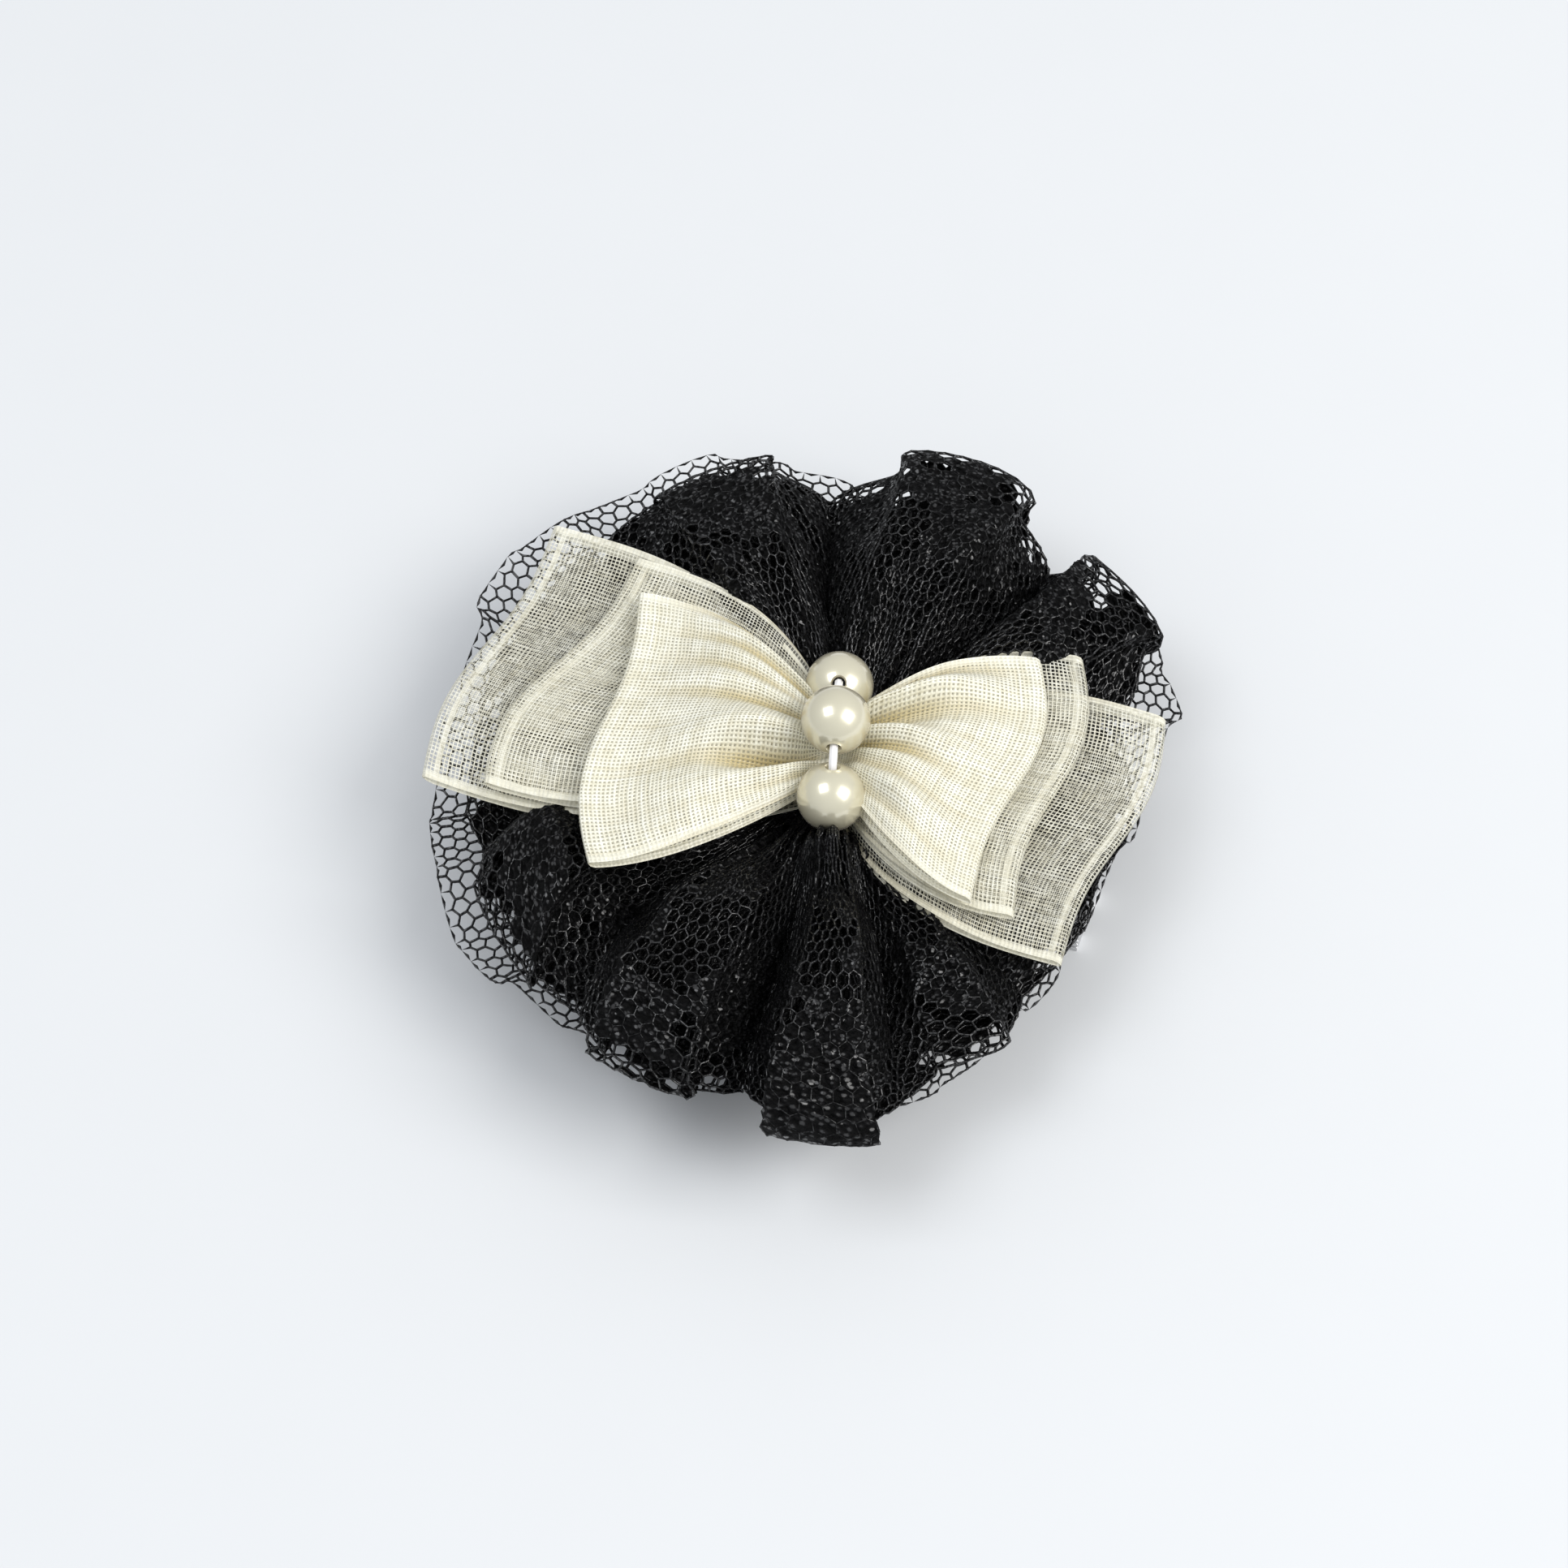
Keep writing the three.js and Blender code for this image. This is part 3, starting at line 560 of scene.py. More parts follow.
# Upper ruffle: a folded strip gathered into puffs. Each station gives the direction in
# degrees, the reach and the height in millimetres; valleys and crests take turns.
topLace = {
    "stations": [
        (-85, 42, 14), (-73, 48.5, 25.5), (-60, 42.5, 14.2), (-49, 40.5, 18.5),
        (-34, 35.5, 14), (-16, 34.5, 15.6), (-3, 33.5, 14), (12, 34.5, 15.6),
        (34, 35.5, 14.3), (56, 44, 22.5), (68, 40.5, 14.5), (87, 46.5, 25.5), (110, 41, 14.5),
        (129, 46, 24.5), (147, 44.5, 14.8), (166, 45, 15.6), (182, 44, 14), (200, 43, 15.6),
        (212, 41.5, 14), (230, 45, 22.5), (246, 42.5, 14.6), (261, 46.5, 25), (275, 42, 14),
    ],
    "inner": 7.0,  # radius of the gathered edge
    "broad": 2.8,  # how wide the crests are against the valleys
    "puffed": (15.5, 22),  # heights from which a crest is a puff, and is fully one
    "overhang": 4.2,  # degrees that the flanks of a puff lean over its valleys
    "sway": 7,  # degrees that the folds wander
    "curlAt": 9.3,  # in folds along the strip
    "curlSpan": 1.1,  # in folds to each side
    "curl": 11,  # degrees that the curled folds turn
    "crease": (0.58, 0.1, 4.2),  # share of the way out, half width, depth
    "roll": (0.82, 0.13, 1.6),  # share of the way out, half width, height
    "ragged": 0.9,  # how uneven the reach is
    "floor": 13.1,  # height of the lower ply
    "rimLift": 0.32,  # share of the crest's height that the rim keeps
    "gathers": (4.3, 0.7),  # to a fold, and their height
    "bumps": (0.75, 0.3),  # heights of the broad and the small bumps
    "tuckTurn": math.radians(-75),
    "tuck": (13.0, 3.0, 3.4, 6.5),  # distance out, half length, half width, height
    "lengthAt": 0.36,  # v at which the strip's length is measured
    "upperClose": 0.97,  # close knitting ends here on the way out, on the upper ply
    "lowerClose": 0.86,  # and here on the lower ply, which is close all over
    "frontClose": (0.74, 0.12, 0.88),  # from here out, the front fold between these is close
    "sections": 3,
}
topFolds = (len(topLace["stations"]) - 1) // 2


# A point of the upper ruffle: q counts the folds along the strip, and v runs from the
# gathered edge of the upper ply at 0, over the rim at a half, to that of the lower ply at 1.
def topPlace(q, v):
    stations = topLace["stations"]
    crest = eased([s[2] for s in stations], q, topLace["broad"])
    reach = eased([s[1] for s in stations], q, topLace["broad"])
    fold = np.mod(q, topFolds)
    turn = np.interp(fold * 2, np.arange(len(stations)), [s[0] for s in stations])
    turn = turn + 360 * np.floor(q / topFolds)
    lift = smoothStep(crest, *topLace["puffed"])
    outward = 1 - np.abs(2 * v - 1)
    upper = v < 0.5
    turn = turn + topLace["overhang"] * np.sin(4 * np.pi * q) * (0.35 + 0.65 * lift) * outward
    turn = turn + topLace["sway"] * uneven(11, (q, 4.0), (outward, 1.2)) * outward * (1 - outward)
    # the lower left folds curl round before they reach the rim
    curl = hump(fold, topLace["curlAt"], topLace["curlSpan"])
    turn = turn - topLace["curl"] * curl * np.sin(np.pi * outward)
    angle = np.radians(turn)
    radius = topLace["inner"] + (reach - topLace["inner"]) * outward
    radius = radius + uneven(5, (q, 1.3), (v, 3.0)) * topLace["ragged"] * outward
    rim = topLace["floor"] + (crest - topLace["floor"]) * topLace["rimLift"]
    fullness = np.sqrt(np.clip(1 - outward ** 5, 0, 1))
    rise = smoothStep(outward, 0.02, 0.62)
    core = laceCore / mm - 0.4
    above = mixed(core, crest, rise)
    top = rim + (above - rim) * fullness
    bottom = rim - (rim - topLace["floor"]) * fullness
    height = np.where(upper, top, bottom)
    often, deep = topLace["gathers"]
    gathers = np.sin(q * 2 * np.pi * often + 1.7 * uneven(8, (q, 2.0))) * deep
    fading = (1 - smoothStep(outward, 0.1, 0.7)) * smoothStep(outward, 0.0, 0.1)
    height = height + gathers * fading * upper
    broadBump, smallBump = topLace["bumps"]
    bumps = uneven(21, (q, 0.9), (v, 0.42)) * broadBump + uneven(22, (q, 0.4), (v, 0.2)) * smallBump
    puff = 0.4 + 0.6 * lift
    height = height + bumps * smoothStep(outward, 0.1, 0.4) * np.where(upper, puff, 0.3)
    # a crease runs round inside the curled folds and leaves a roll at the rim
    creaseAt, creaseHalf, creaseDeep = topLace["crease"]
    rollAt, rollHalf, rollHigh = topLace["roll"]
    crease = hump(outward, creaseAt + 0.05 * np.sin(q * 5), creaseHalf) * creaseDeep
    roll = hump(outward, rollAt, rollHalf) * rollHigh
    height = height + curl * upper * (roll - crease) * puff
    # gathered up against the string in front of the front pearl
    tuckAt, tuckLong, tuckWide, tuckHigh = topLace["tuck"]
    aside = angle - topLace["tuckTurn"]
    tuck = hump(radius, tuckAt, tuckLong) * hump(np.sin(aside) * radius, 0, tuckWide) * tuckHigh
    height = height + tuck * (np.cos(aside) > 0) * upper
    x = waist.x / mm + radius * np.cos(angle)
    y = waist.y / mm + radius * np.sin(angle)
    return np.stack([x, y, height], -1) * mm


def lengthAlong(points):
    return np.concatenate([[0], np.cumsum(np.linalg.norm(np.diff(points, axis=0), axis=1))])


samples = {"along": 1601, "across": 301}


# The flat strip that a ruffle is made of: the surface over it, its length measured at one
# level and its width as a mean of some folds, and the lengths at which the folds lie.
def stripOf(place, folds, level, foldAt):
    q = np.linspace(0, folds, samples["along"])
    long = lengthAlong(place(q, np.full_like(q, level)))
    v = np.linspace(0, 1, samples["across"])
    wide = np.mean([lengthAlong(place(np.full_like(v, at), v)) for at in foldAt], axis=0)

    def surface(s, t):
        return place(np.interp(s, long, q), np.interp(t, wide, v))

    return surface, long[-1], wide[-1], long, q


# Where the knitting is close, from the place on the flat strip; more bias, more of it.
def closeKnit(points, seed, bias):
    s, t = points[:, 0] / mm, points[:, 1] / mm
    draw = np.random.default_rng(seed)
    a, b, c = draw.uniform(0, 6, 3)
    first = np.sin(s / 3.4 + a + 1.5 * np.sin(t / 4.1 + b))
    second = np.sin(t / 3.1 + c + 1.4 * np.sin(s / 4.9 + a))
    small = np.sin(s / 1.9 + 2.1 * np.sin(t / 2.3 + c))
    small = small + np.sin(t / 1.6 + 1.8 * np.sin(s / 2.7 + b))
    return first + second + 0.45 * small + draw.uniform(-0.7, 0.7, len(s)) > -bias


def buildTopLace():
    crests = [0.5 + k for k in range(topFolds)]
    surface, long, wide, lengths, q = stripOf(topPlace, topFolds, topLace["lengthAt"], crests)
    print(f"upper ruffle: strip {long / mm:.0f} x {wide / mm:.0f} mm")
    size = (long, wide)
    starts, ends, thick, middles = flatNet(long, wide)
    outward = np.interp(middles[:, 1], [0, wide / 2, wide], [0, 1, 0])
    ragged = outward + 0.05 * uneven(13, (middles[:, 0] / mm, 30))
    upper = closeKnit(middles, 3, 0.1) & (outward < topLace["upperClose"])
    lower = (middles[:, 1] > wide / 2) & (ragged < topLace["lowerClose"])
    folds = np.interp(middles[:, 0], lengths, q)
    start, first, last = topLace["frontClose"]
    front = (outward > start) & (folds > first) & (folds < last)
    filled = middles[upper | lower | front]
    count = topLace["sections"]
    clothLook = laceCloth(size, "upperClothwork")
    threadAt = (starts + ends)[:, 0] / 2
    for k in range(count):
        low, high = long * k / count, long * (k + 1) / count
        mine = (threadAt >= low) & (threadAt < high)
        threads = (starts[mine], ends[mine], thick[mine])
        piece = netPiece(f"lace_top_net_{k + 1}", surface, *threads, size, threadLook)
        cells = filled[(filled[:, 0] >= low) & (filled[:, 0] < high)]
        patch = clothworkPiece(f"lace_top_clothwork_{k + 1}", surface, cells, size, clothLook)
        long / count
    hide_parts("lace_top_ruffle")


# Lower ruffle: one ply of net, nearly flat, with a waved edge. Each row gives the
# direction in degrees, the reach and the height of the edge in millimetres.
underLace = {
    "edge": [
        (-175, 47.5, 9.5), (-160, 47.8, 8.5), (-147, 48.2, 9.5), (-133, 47, 8.2),
        (-121, 44.2, 9.6), (-108, 41.5, 8.4), (-98, 39.4, 9.4), (-86, 37.5, 8.6),
        (-74, 38.5, 9.8), (-62, 40.5, 8.4), (-48, 39, 9.8), (-36, 35.5, 8.6),
        (-20, 34.5, 9.8), (-5, 33, 8.8), (12, 34.6, 10), (26, 38.4, 12.5), (38, 43, 15.2),
        (50, 43.5, 12), (66, 41.5, 10), (80, 43.5, 10.8), (96, 42.5, 12.5), (110, 43.5, 16),
        (123, 46.3, 16.5), (138, 49.4, 15.8), (150, 50.6, 12.2), (161, 52, 15.6),
        (172, 49, 11), (185, 47.5, 9.5),
    ],
    "from": -175,  # the strip's seam
    "inner": 8.0,  # radius of the gathered edge
    "flat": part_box("lace_under_ruffle")[1].z / mm - 1.2,  # height of the flat part
    "waves": 17,
    "waveHigh": 1.5,
    "waveTurn": 1.6,  # degrees that the waves lean over
    "evening": 3,  # degrees over which the reach is evened out
    "ragged": 0.6,  # how uneven the reach is
    "uneven": 0.35,  # how uneven the height is
    "lengthAt": 0.85,  # v at which the strip's length is measured
    "widthAt": [0.1, 0.35, 0.6, 0.85],  # q at which its width is measured
    "closeOut": 0.66,  # close knitting ends about here on the way out
}


# A point of the lower ruffle: q runs once round, v from the gathered edge to the rim.
def underPlace(q, v):
    seam = underLace["from"]
    turns, reaches, rims = zip(*underLace["edge"])
    turn = q * 360 + seam
    at = np.mod(turn - seam, 360) + seam
    later = np.mod(at - seam + underLace["evening"], 360) + seam
    reach = (np.interp(at, turns, reaches) + np.interp(later, turns, reaches)) / 2
    rim = np.interp(at, turns, rims)
    drop = smoothStep(v, 0.42, 1.08)
    waves = underLace["waves"]
    wave = np.sin(q * 2 * np.pi * waves + 2.2 * uneven(31, (q, 0.35)))
    turn = turn + underLace["waveTurn"] * np.sin(q * 4 * np.pi * waves) * drop
    angle = np.radians(turn)
    radius = underLace["inner"] + (reach - underLace["inner"]) * v
    radius = radius + underLace["ragged"] * uneven(33, (q, 0.06)) * v
    height = mixed(underLace["flat"], rim, drop) + wave * underLace["waveHigh"] * drop
    height = height + underLace["uneven"] * uneven(35, (q, 0.08), (v, 0.4)) * v
    x = waist.x / mm + radius * np.cos(angle)
    y = waist.y / mm + radius * np.sin(angle)
    return np.stack([x, y, height], -1) * mm


def buildUnderLace():
    lengthAt, widthAt = underLace["lengthAt"], underLace["widthAt"]
    surface, long, wide, _, _ = stripOf(underPlace, 1, lengthAt, widthAt)
    print(f"lower ruffle: strip {long / mm:.0f} x {wide / mm:.0f} mm")
    size = (long, wide)
    starts, ends, thick, middles = flatNet(long, wide)
    piece = netPiece("lace_under_net", surface, starts, ends, thick, size, threadLook)
    limit = underLace["closeOut"] + 0.06 * uneven(14, (middles[:, 0] / mm, 50))
    outer = middles[:, 1] > wide * limit
    filled = middles[closeKnit(middles, 9, 1.4) & ~outer]
    clothLook = laceCloth(size, "lowerClothwork")
    patch = clothworkPiece("lace_under_clothwork", surface, filled, size, clothLook)
    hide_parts("lace_under_ruffle")


ribbon = {
    "width": 38 * mm,
    "pitch": 0.5 * mm,  # from thread to thread
    "selvedge": (1.1 * mm, 0.8 * mm),  # where it begins, and where it is full
    "pressedLine": 1.7 * mm,  # in from the loop's end
    "pressedHalf": (0.22 * mm, 0.4 * mm),  # where the line is full, and where it has faded
    "pleatDeep": (0.35, 0.9),  # millimetres, in the lower and the upper ply
    "lowerShare": 0.3,  # of the upper ply's rolls
    "rows": 4 * 48,  # of faces round the ring
    "columns": 120,  # of faces across
}

# Millimetres, from the waist. left and right: rear and front corners of the loop's end.
# flare: how soon the ribbon opens. waist, ends: heights of the lower and the upper ply there.
# swell: how far the upper ply rises between them. waistHalf: half the pinched width. bow: how
# far the end curves outwards, and its S. folds: pleats across. cover: see organza. rolls:
# where across the ribbon (-1 to 1), how wide, how high, and how far out each runs.
bowTiers = {
    "bow_long_ribbon": {
        "left": ((-43.7, 20.8), (-45.0, -18.1)), "right": ((35.1, 18.6), (33.3, -17.2)),
        "flare": 3.0,
        "waist": (17.5, 18.3), "ends": (17.9, 19.0), "swell": 0.7, "waistHalf": 4.6,
        "bow": (0.8, 1.2), "folds": 5, "seed": 41, "cover": (0.79, 0.95, 0.01, 0.66),
        "rolls": {
            "left": [(0.7, 0.2, 0.6, 0.8), (-0.5, 0.2, 0.5, 0.8)],
            "right": [(0.4, 0.2, 0.6, 0.8), (-0.7, 0.2, 0.5, 0.8)],
        },
    },
    "bow_middle_ribbon": {
        "left": ((-31.7, 17.9), (-37.1, -17.8)), "right": ((23.6, 22), (26.6, -14.4)),
        "flare": 2.4,
        "waist": (19.2, 20.0), "ends": (20.2, 21.3), "swell": 1.2, "waistHalf": 3.8,
        "bow": (1.2, 1.6), "folds": 5, "seed": 43, "cover": (0.75, 0.93, 0.01, 0.74),
        "rolls": {
            "left": [(0.82, 0.12, 1.2, 0.8), (0.5, 0.14, 0.9, 0.7), (-0.8, 0.12, 0.9, 0.7)],
            "right": [(0.7, 0.14, 1.0, 0.8), (-0.6, 0.14, 1.0, 0.8)],
        },
    },
    "bow_top_ribbon": {
        "left": ((-28.9, 11.7), (-21.2, -25.2)), "right": ((19.3, 18.6), (21.6, -15.2)),
        "flare": 1.8,
        "waist": (21.0, 22.0), "ends": (22.2, 23.4), "swell": 2.0, "waistHalf": 3.2,
        "bow": (1.6, 1.4), "folds": 6, "seed": 47, "cover": (0.32, 0.64, 0.3, 0.95),
        "rolls": {
            "left": [
                (0.88, 0.08, 1.9, 1.0), (0.64, 0.09, 2.3, 1.0), (0.38, 0.10, 2.0, 0.95),
                (-0.02, 0.17, 4.0, 0.8), (-0.38, 0.15, -2.6, 0.55), (-0.68, 0.14, 1.8, 0.8),
            ],
            "right": [
                (0.74, 0.12, 2.4, 1.0), (0.42, 0.11, -1.5, 0.75), (0.14, 0.15, 3.2, 0.75),
                (-0.18, 0.10, 2.0, 0.7), (-0.52, 0.13, 2.6, 0.95), (-0.85, 0.1, 1.4, 0.9),
            ],
        },
    },
}


# One side of one ply. d runs from 0 at the waist to 1 at the loop's end, w from -1 at the
# front edge to 1 at the rear edge.
def plyPlace(tier, side, upper, d, w):
    rear, front = (np.array(c, float) for c in tier[side])
    hand = -1 if side == "left" else 1
    share = (w + 1) / 2
    end = front + (rear - front) * share[..., None]
    outward = np.array([rear[1] - front[1], front[0] - rear[0]]) * hand
    outward = outward / np.linalg.norm(outward)
    curve, bend = tier["bow"]
    bulge = curve * (1 - w ** 2) + bend * np.sin(np.pi * w) * hand
    end = end + outward * bulge[..., None]
    string = np.array([stringLine.x, stringLine.y])
    start = string * (w * tier["waistHalf"])[..., None]
    # across the ribbon the width opens sooner than the length runs out
    flare = 1 - (1 - d) ** tier["flare"]
    middle = (rear + front) / 2
    alongMiddle = middle * d[..., None]
    flat = alongMiddle + start * (1 - flare)[..., None] + (end - middle) * flare[..., None]
    low, high = tier["waist"], tier["ends"]
    index = 1 if upper else 0
    height = mixed(low[index], high[index], smoothStep(d, 0.0, 0.55))
    swell = np.sin(np.pi * np.clip(d * 1.15, 0, 1)) ** 1.5
    if upper:
        height = height + tier["swell"] * swell * (1 - 0.5 * w ** 2)
    else:
        height = height - 0.15 * swell
    pinch = (1 - d) ** 2.2
    phase = uneven(tier["seed"] + index, (w, 2.6), (d, 2.5)) * 1.3
    pleats = np.sin(w * np.pi * tier["folds"] + phase + hand)
    deep = ribbon["pleatDeep"][index] * smoothStep(d, 0.0, 0.12)
    height = height + pleats * deep * (0.15 + pinch) * (1 - smoothStep(d, 0.75, 1))
    weight = 1 if upper else ribbon["lowerShare"]
    for at, width, rollHigh, until in tier["rolls"][side]:
        fade = smoothStep(d, 0.02, 0.16) * (1 - smoothStep(d, until * 0.3, until))
        height = height + rollHigh * weight * hump(w, at, width) * fade
    soft = uneven(tier["seed"] + 5, (w, 1.7), (d, 0.9))
    height = height + soft * 0.35 * smoothStep(d, 0.15, 0.6) * weight
    x = waist.x / mm + flat[..., 0]
    y = waist.y / mm + flat[..., 1]
    return np.stack([x, y, height], -1) * mm


# The ring of ribbon: upper ply from the waist to the right end, back under, and the same
# on the left.
def ringPlace(tier, a, w):
    quarter = np.mod(a, 1) * 4
    leg = np.floor(quarter).astype(int)
    run = quarter - leg
    plies = [
        plyPlace(tier, "right", True, run, w),
        plyPlace(tier, "right", False, 1 - run, w),
        plyPlace(tier, "left", False, run, w),
        plyPlace(tier, "left", True, 1 - run, w),
    ]
    return np.select([(leg == k)[..., None] for k in range(4)], plies)


# How far each point lies under its neighbours across the ribbon: the mask of the painted shade in
# the folds.
def givePaintedFoldShade(piece, rows):
    height = rows[..., 2] / mm
    span = 7  # neighbours to each side
    padded = np.pad(height, ((0, 0), (span, span)), mode="edge")
    around = np.mean([padded[:, k:k + height.shape[1]] for k in range(2 * span + 1)], axis=0)
    paintedFoldShade = np.clip((around - height) / 0.55, 0, 1)
    layer = piece.data.attributes.new("paintedFoldShade", "FLOAT", "POINT")
    layer.data.foreach_set("value", paintedFoldShade.astype(np.float32).ravel())


def buildTier(name):
    tier = bowTiers[name]
    around, across = ribbon["rows"], ribbon["columns"]
    a = np.arange(around) / around
    w = np.linspace(-1, 1, across + 1)
    gridA, gridW = np.meshgrid(a, w, indexing="ij")
    points = ringPlace(tier, gridA, gridW)
    # the fold at a loop's end isn't a sharp crease
    points = points * 0.5 + (np.roll(points, 1, 0) + np.roll(points, -1, 0)) * 0.25
    lengths = lengthAlong(points[:, across // 2])
    total = lengths[-1] + np.linalg.norm(points[0, across // 2] - points[-1, across // 2])
    size = (ribbon["width"], total)
    rows = np.concatenate([points, points[:1]])
    along = np.concatenate([lengths, [total]])
    wide = (w + 1) / 2 * ribbon["width"]
    flat = np.stack(np.meshgrid(along, wide, indexing="ij"), -1)[..., ::-1]
    count = across + 1
    i, j = [g.ravel() for g in np.meshgrid(np.arange(around), np.arange(across), indexing="ij")]
    here, after = i * count + j, (i + 1) * count + j
    faces = np.stack([here, after, after + 1, here + 1], 1)
    ends = (lengths[around // 4], lengths[around * 3 // 4])
    look = organza(size, name + "Organza", ends, tier["cover"])
    piece = meshPiece(name + "_cloth", rows.reshape(-1, 3), faces, look)
    giveCloth(piece, flat.reshape(-1, 2), size)
    givePaintedFoldShade(piece, rows)
    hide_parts(name)
    print(f"{name}: ring of ribbon {total / mm:.0f} mm round")


bead = {
    "rings": 40,
    "sides": 64,
    "bore": 0.75 * mm,  # radius
    "mouth": 0.92 * mm,  # radius that is cut away at each end of the bore
    "sink": 0.35 * mm,  # depth of the countersink
}


def buildPearl(name, body):
    place = pearlPlaces[name]
    deselect()
    bpy.ops.mesh.primitive_uv_sphere_add(
        segments=bead["sides"], ring_count=bead["rings"], radius=pearlRadius,
    )
    piece = bpy.context.object
    piece.name = name + "_bead"
    bpy.ops.object.mode_set(mode="EDIT")
    mesh = bmesh.from_edit_mesh(piece.data)
    for vert in mesh.verts:
        vert.select = math.hypot(vert.co.x, vert.co.y) < bead["mouth"]
    mesh.select_flush(True)
    bmesh.update_edit_mesh(piece.data)
    bpy.ops.mesh.delete(type="VERT")
    for end in (1, -1):
        bpy.ops.mesh.select_all(action="DESELECT")
        mesh = bmesh.from_edit_mesh(piece.data)
        for edge in mesh.edges:
            edge.select_set(edge.is_boundary and edge.verts[0].co.z * end > 0)
        bmesh.update_edit_mesh(piece.data)
        rim = max(math.hypot(v.co.x, v.co.y) for v in mesh.verts if v.select)
        narrow = bead["bore"] / rim
        bpy.ops.mesh.extrude_edges_move(
            TRANSFORM_OT_translate={"value": (0, 0, -end * bead["sink"])},
        )
        bpy.ops.transform.resize(value=(narrow, narrow, 1), center_override=(0, 0, 0))
    bpy.ops.mesh.select_all(action="DESELECT")
    mesh = bmesh.from_edit_mesh(piece.data)
    for edge in mesh.edges:
        edge.select_set(edge.is_boundary)
    bmesh.update_edit_mesh(piece.data)
    bpy.ops.mesh.bridge_edge_loops()
    bpy.ops.mesh.select_all(action="SELECT")
    bpy.ops.mesh.normals_make_consistent(inside=False)
    bpy.ops.object.mode_set(mode="OBJECT")
    joint = next(j for j in frame["joints"] if j["child"] == body)
    turn = Vector((0, 0, 1)).rotation_difference(Vector(joint["axis"]))
    piece.data.transform(Matrix.Translation(place) @ turn.to_matrix().to_4x4())
    bpy.ops.object.shade_smooth_by_angle(angle=math.radians(40))
    piece.data.materials.clear()
    piece.data.materials.append(pearlLook)
    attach(piece, body)
    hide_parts(name)


# Metal parts, felt, stitches and cord are the frame's own shapes with broken edges: the
# finish of each, and the width of its bevel in millimetres.
trim = {
    "base_plate": ("steel", 0.12), "hinge_pin": ("steel", 0.1), "swing_arm": ("steel", 0.12),
    "clasp_bracket": ("steel", 0.1), "clasp_rivet": ("steel", 0.08),
    "tension_spring": ("spring_steel", 0.1), "clasp_tab_front": ("spring_steel", 0.08),
    "clasp_tab_rear": ("spring_steel", 0.08), "felt_backing": ("felt", 0.2),
    **{f"plate_stitch_{k}": ("black_thread", 0.1) for k in (1, 2, 3, 4)},
    "gathering_thread": ("black_thread", 0.0), "string_knot_front": ("nylon", 0.0),
    "string_knot_rear": ("nylon", 0.0), "pearl_string": ("nylon", 0.0),
}


def buildTrim(name, slot, edge):
    source = frame["nodes"][name]
    piece = bpy.data.objects.new(name + "_finished", source.data.copy())
    bpy.context.scene.collection.objects.link(piece)
    pick(piece)
    bpy.ops.object.mode_set(mode="EDIT")
    bpy.ops.mesh.select_all(action="SELECT")
    bpy.ops.mesh.remove_doubles(threshold=0.005 * mm)
    bpy.ops.mesh.tris_convert_to_quads(face_threshold=0.02, shape_threshold=0.6)
    bpy.ops.object.mode_set(mode="OBJECT")
    if edge:
        bevel = piece.modifiers.new("brokenEdge", "BEVEL")
        bevel.width = edge * mm
        bevel.segments = 2
        bevel.limit_method = "ANGLE"
        bevel.angle_limit = math.radians(50)
        bpy.ops.object.modifier_apply(modifier="brokenEdge")
    bpy.ops.object.shade_smooth_by_angle(angle=math.radians(35))
    piece.modifiers.new("flatFaces", "WEIGHTED_NORMAL").keep_sharp = True
    bpy.ops.object.modifier_apply(modifier="flatFaces")
    piece.data.materials.clear()
    piece.data.materials.append(looks[slot])
    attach(piece, source["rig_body"])
    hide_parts(name)


threadLook = laceThread()
pearlLook = pearlFinish()
looks = {
    "steel": metalFinish("nickelPlatedSteel", colours["steel"], 0.24),
    "spring_steel": metalFinish("brightSpringSteel", colours["springSteel"], 0.18),
    "felt": feltFinish(),
    "black_thread": threadFinish(),
    "nylon": nylonFinish(),
}

print("building the lace")
buildUnderLace()
buildTopLace()
print("building the bow")
for tierName in bowTiers:
    buildTier(tierName)
print("building the pearls")
for joint in frame["joints"]:
    if joint["child"].endswith("_pearl"):
        place = Vector(joint["pos_m"])
        name = min(pearlPlaces, key=lambda n: (pearlPlaces[n] - place).length)
        buildPearl(name, joint["child"])
print("finishing the barrette")
for name, (slot, edge) in trim.items():
    buildTrim(name, slot, edge)

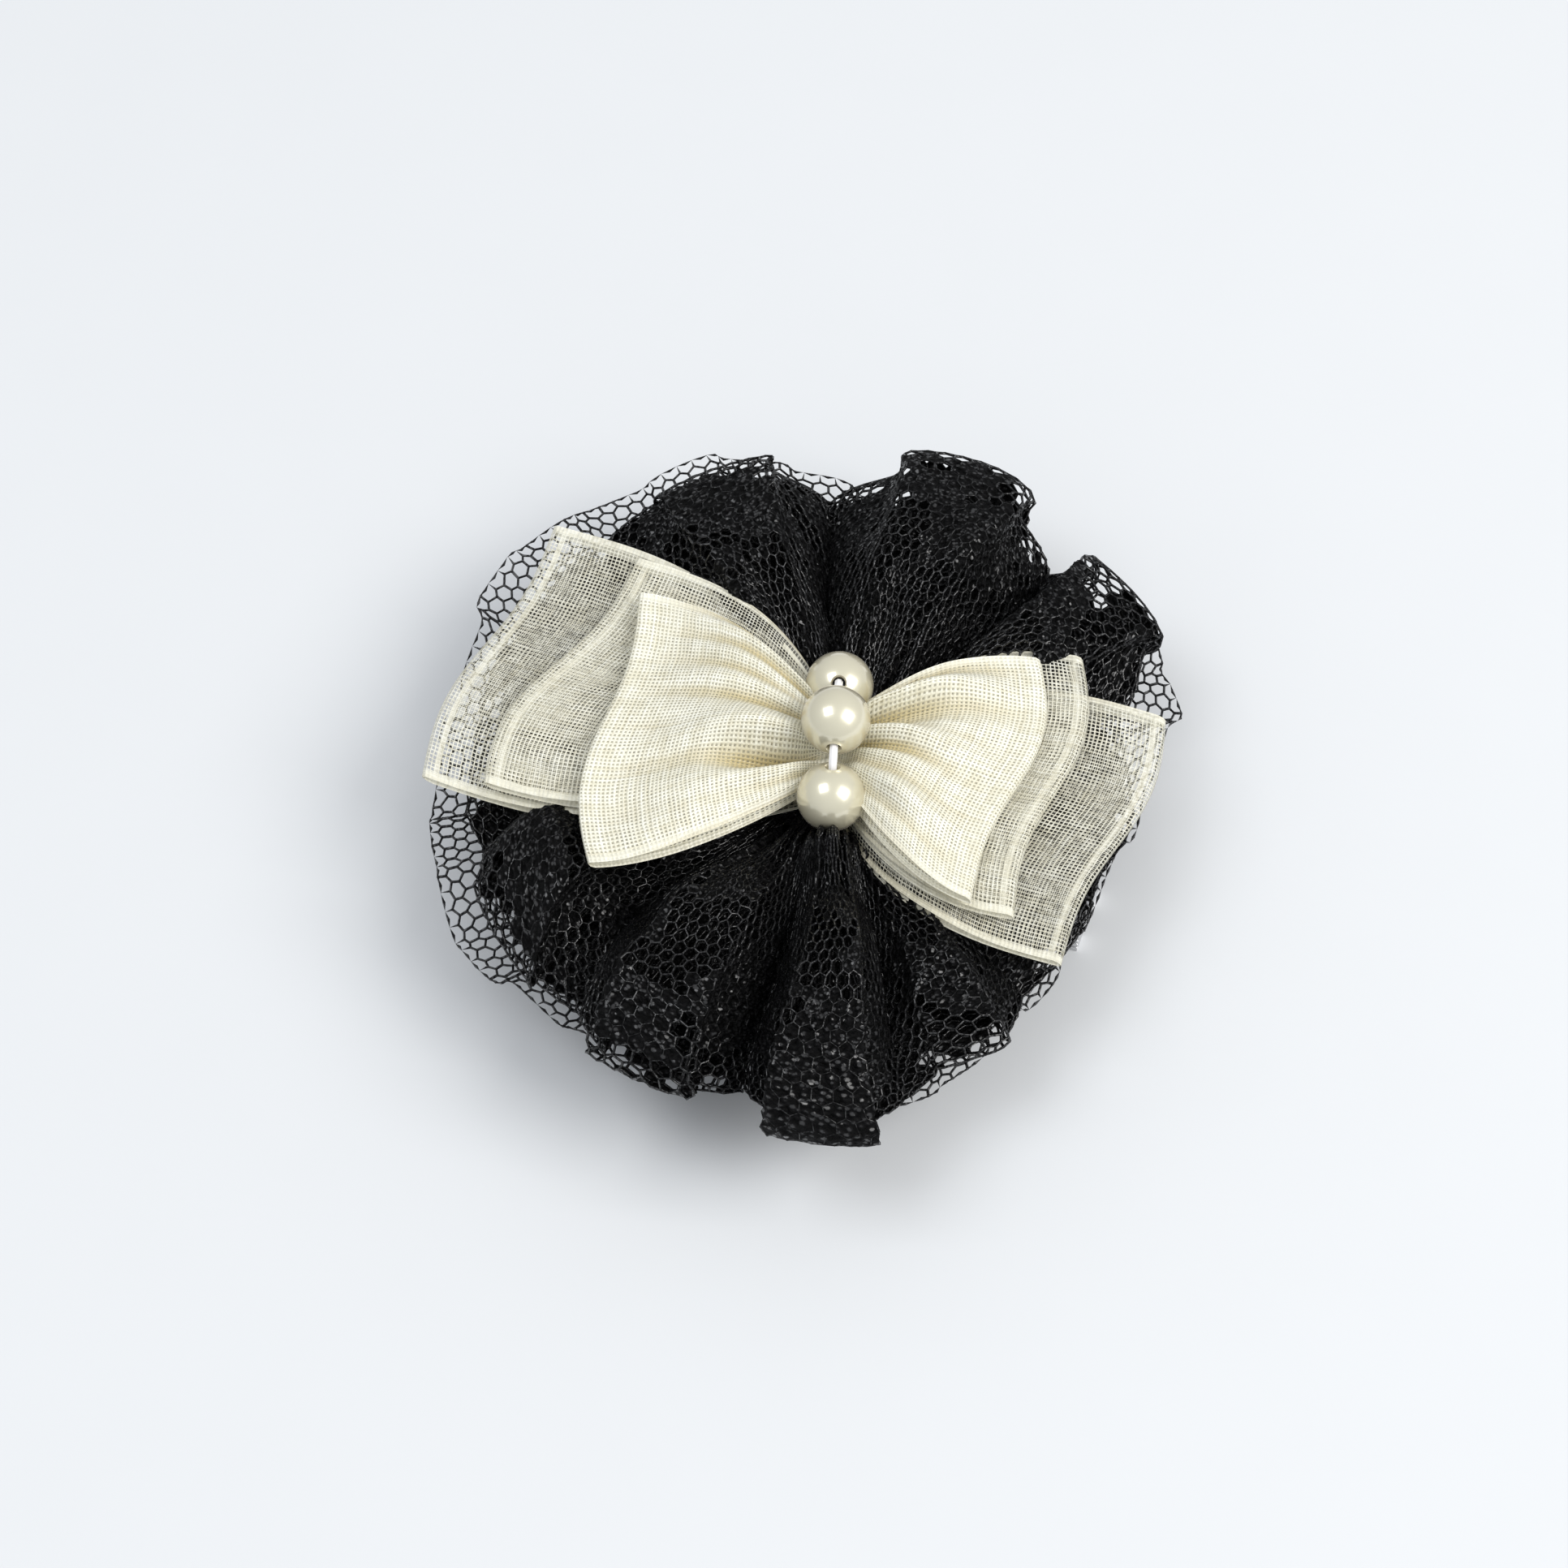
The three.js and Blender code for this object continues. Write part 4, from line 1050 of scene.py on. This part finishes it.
# Lights stand so many metres right of, ahead of and above the middle of the view; the
# camera's elevation and turn are in degrees, and its distance in metres.
studio = {
    "floor": (0.715, 0.73, 0.745), "world": (0.94, 0.965, 1.0), "worldStrength": 0.61,
    "key": {"right": 0.80, "ahead": -0.30, "up": 0.90, "power": 10.3, "size": 0.7,
            "colour": (1, 0.985, 0.96)},
    "fill": {"right": -0.52, "ahead": -0.05, "up": 1.13, "power": 4.4, "size": 0.6,
             "colour": (0.95, 0.97, 1)},
    "aim": (-8.5 * mm, 6.2 * mm),  # from the waist
    "lens": 85, "elevation": 57.5, "turn": 19.5, "distance": 0.452,
}


def floorFinish():
    finish = Finish("palePaper", Specular_IOR_Level=0.2)
    grain = finish.noise(60, 4)
    colour = finish.blend(grain, tuple(c * 0.985 for c in studio["floor"]), studio["floor"])
    return finish.feed(Base_Color=colour, Roughness=0.9)


print("setting up the studio")
deselect()
bpy.ops.mesh.primitive_grid_add(x_subdivisions=8, y_subdivisions=8, size=6)
floor = bpy.context.object
floor.name = "floor"
floor.data.materials.append(floorFinish())

turn = math.radians(studio["turn"])
cameraRight = Vector((math.cos(turn), math.sin(turn), 0))
cameraAhead = Vector((-math.sin(turn), math.cos(turn), 0))
up = Vector((0, 0, 1))
aim = waist + Vector((*studio["aim"], 0))


def areaLight(name):
    light = studio[name]
    lamp = bpy.data.lights.new(name, "AREA")
    lamp.energy = light["power"]
    lamp.size = light["size"]
    lamp.color = light["colour"]
    place = aim + cameraRight * light["right"] + cameraAhead * light["ahead"] + up * light["up"]
    lit = bpy.data.objects.new(name, lamp)
    bpy.context.scene.collection.objects.link(lit)
    lit.location = place
    lit.rotation_euler = (aim - place).to_track_quat("-Z", "Y").to_euler()


areaLight("key")
areaLight("fill")

world = bpy.data.worlds.new("studio")
bpy.context.scene.world = world
world.use_nodes = True
sky = world.node_tree.nodes["Background"]
sky.inputs[0].default_value = (*studio["world"], 1)
sky.inputs[1].default_value = studio["worldStrength"]
bpy.context.scene.view_settings.view_transform = "Standard"

rise = math.radians(studio["elevation"])
eye = bpy.data.cameras.new("camera")
eye.lens = studio["lens"]
eye.sensor_width = 36
eye.clip_start = 0.01
camera = bpy.data.objects.new("camera", eye)
bpy.context.scene.collection.objects.link(camera)
camera.location = aim + (up * math.sin(rise) - cameraAhead * math.cos(rise)) * studio["distance"]
camera.rotation_euler = (aim - camera.location).to_track_quat("-Z", "Y").to_euler()
bpy.context.scene.camera = camera
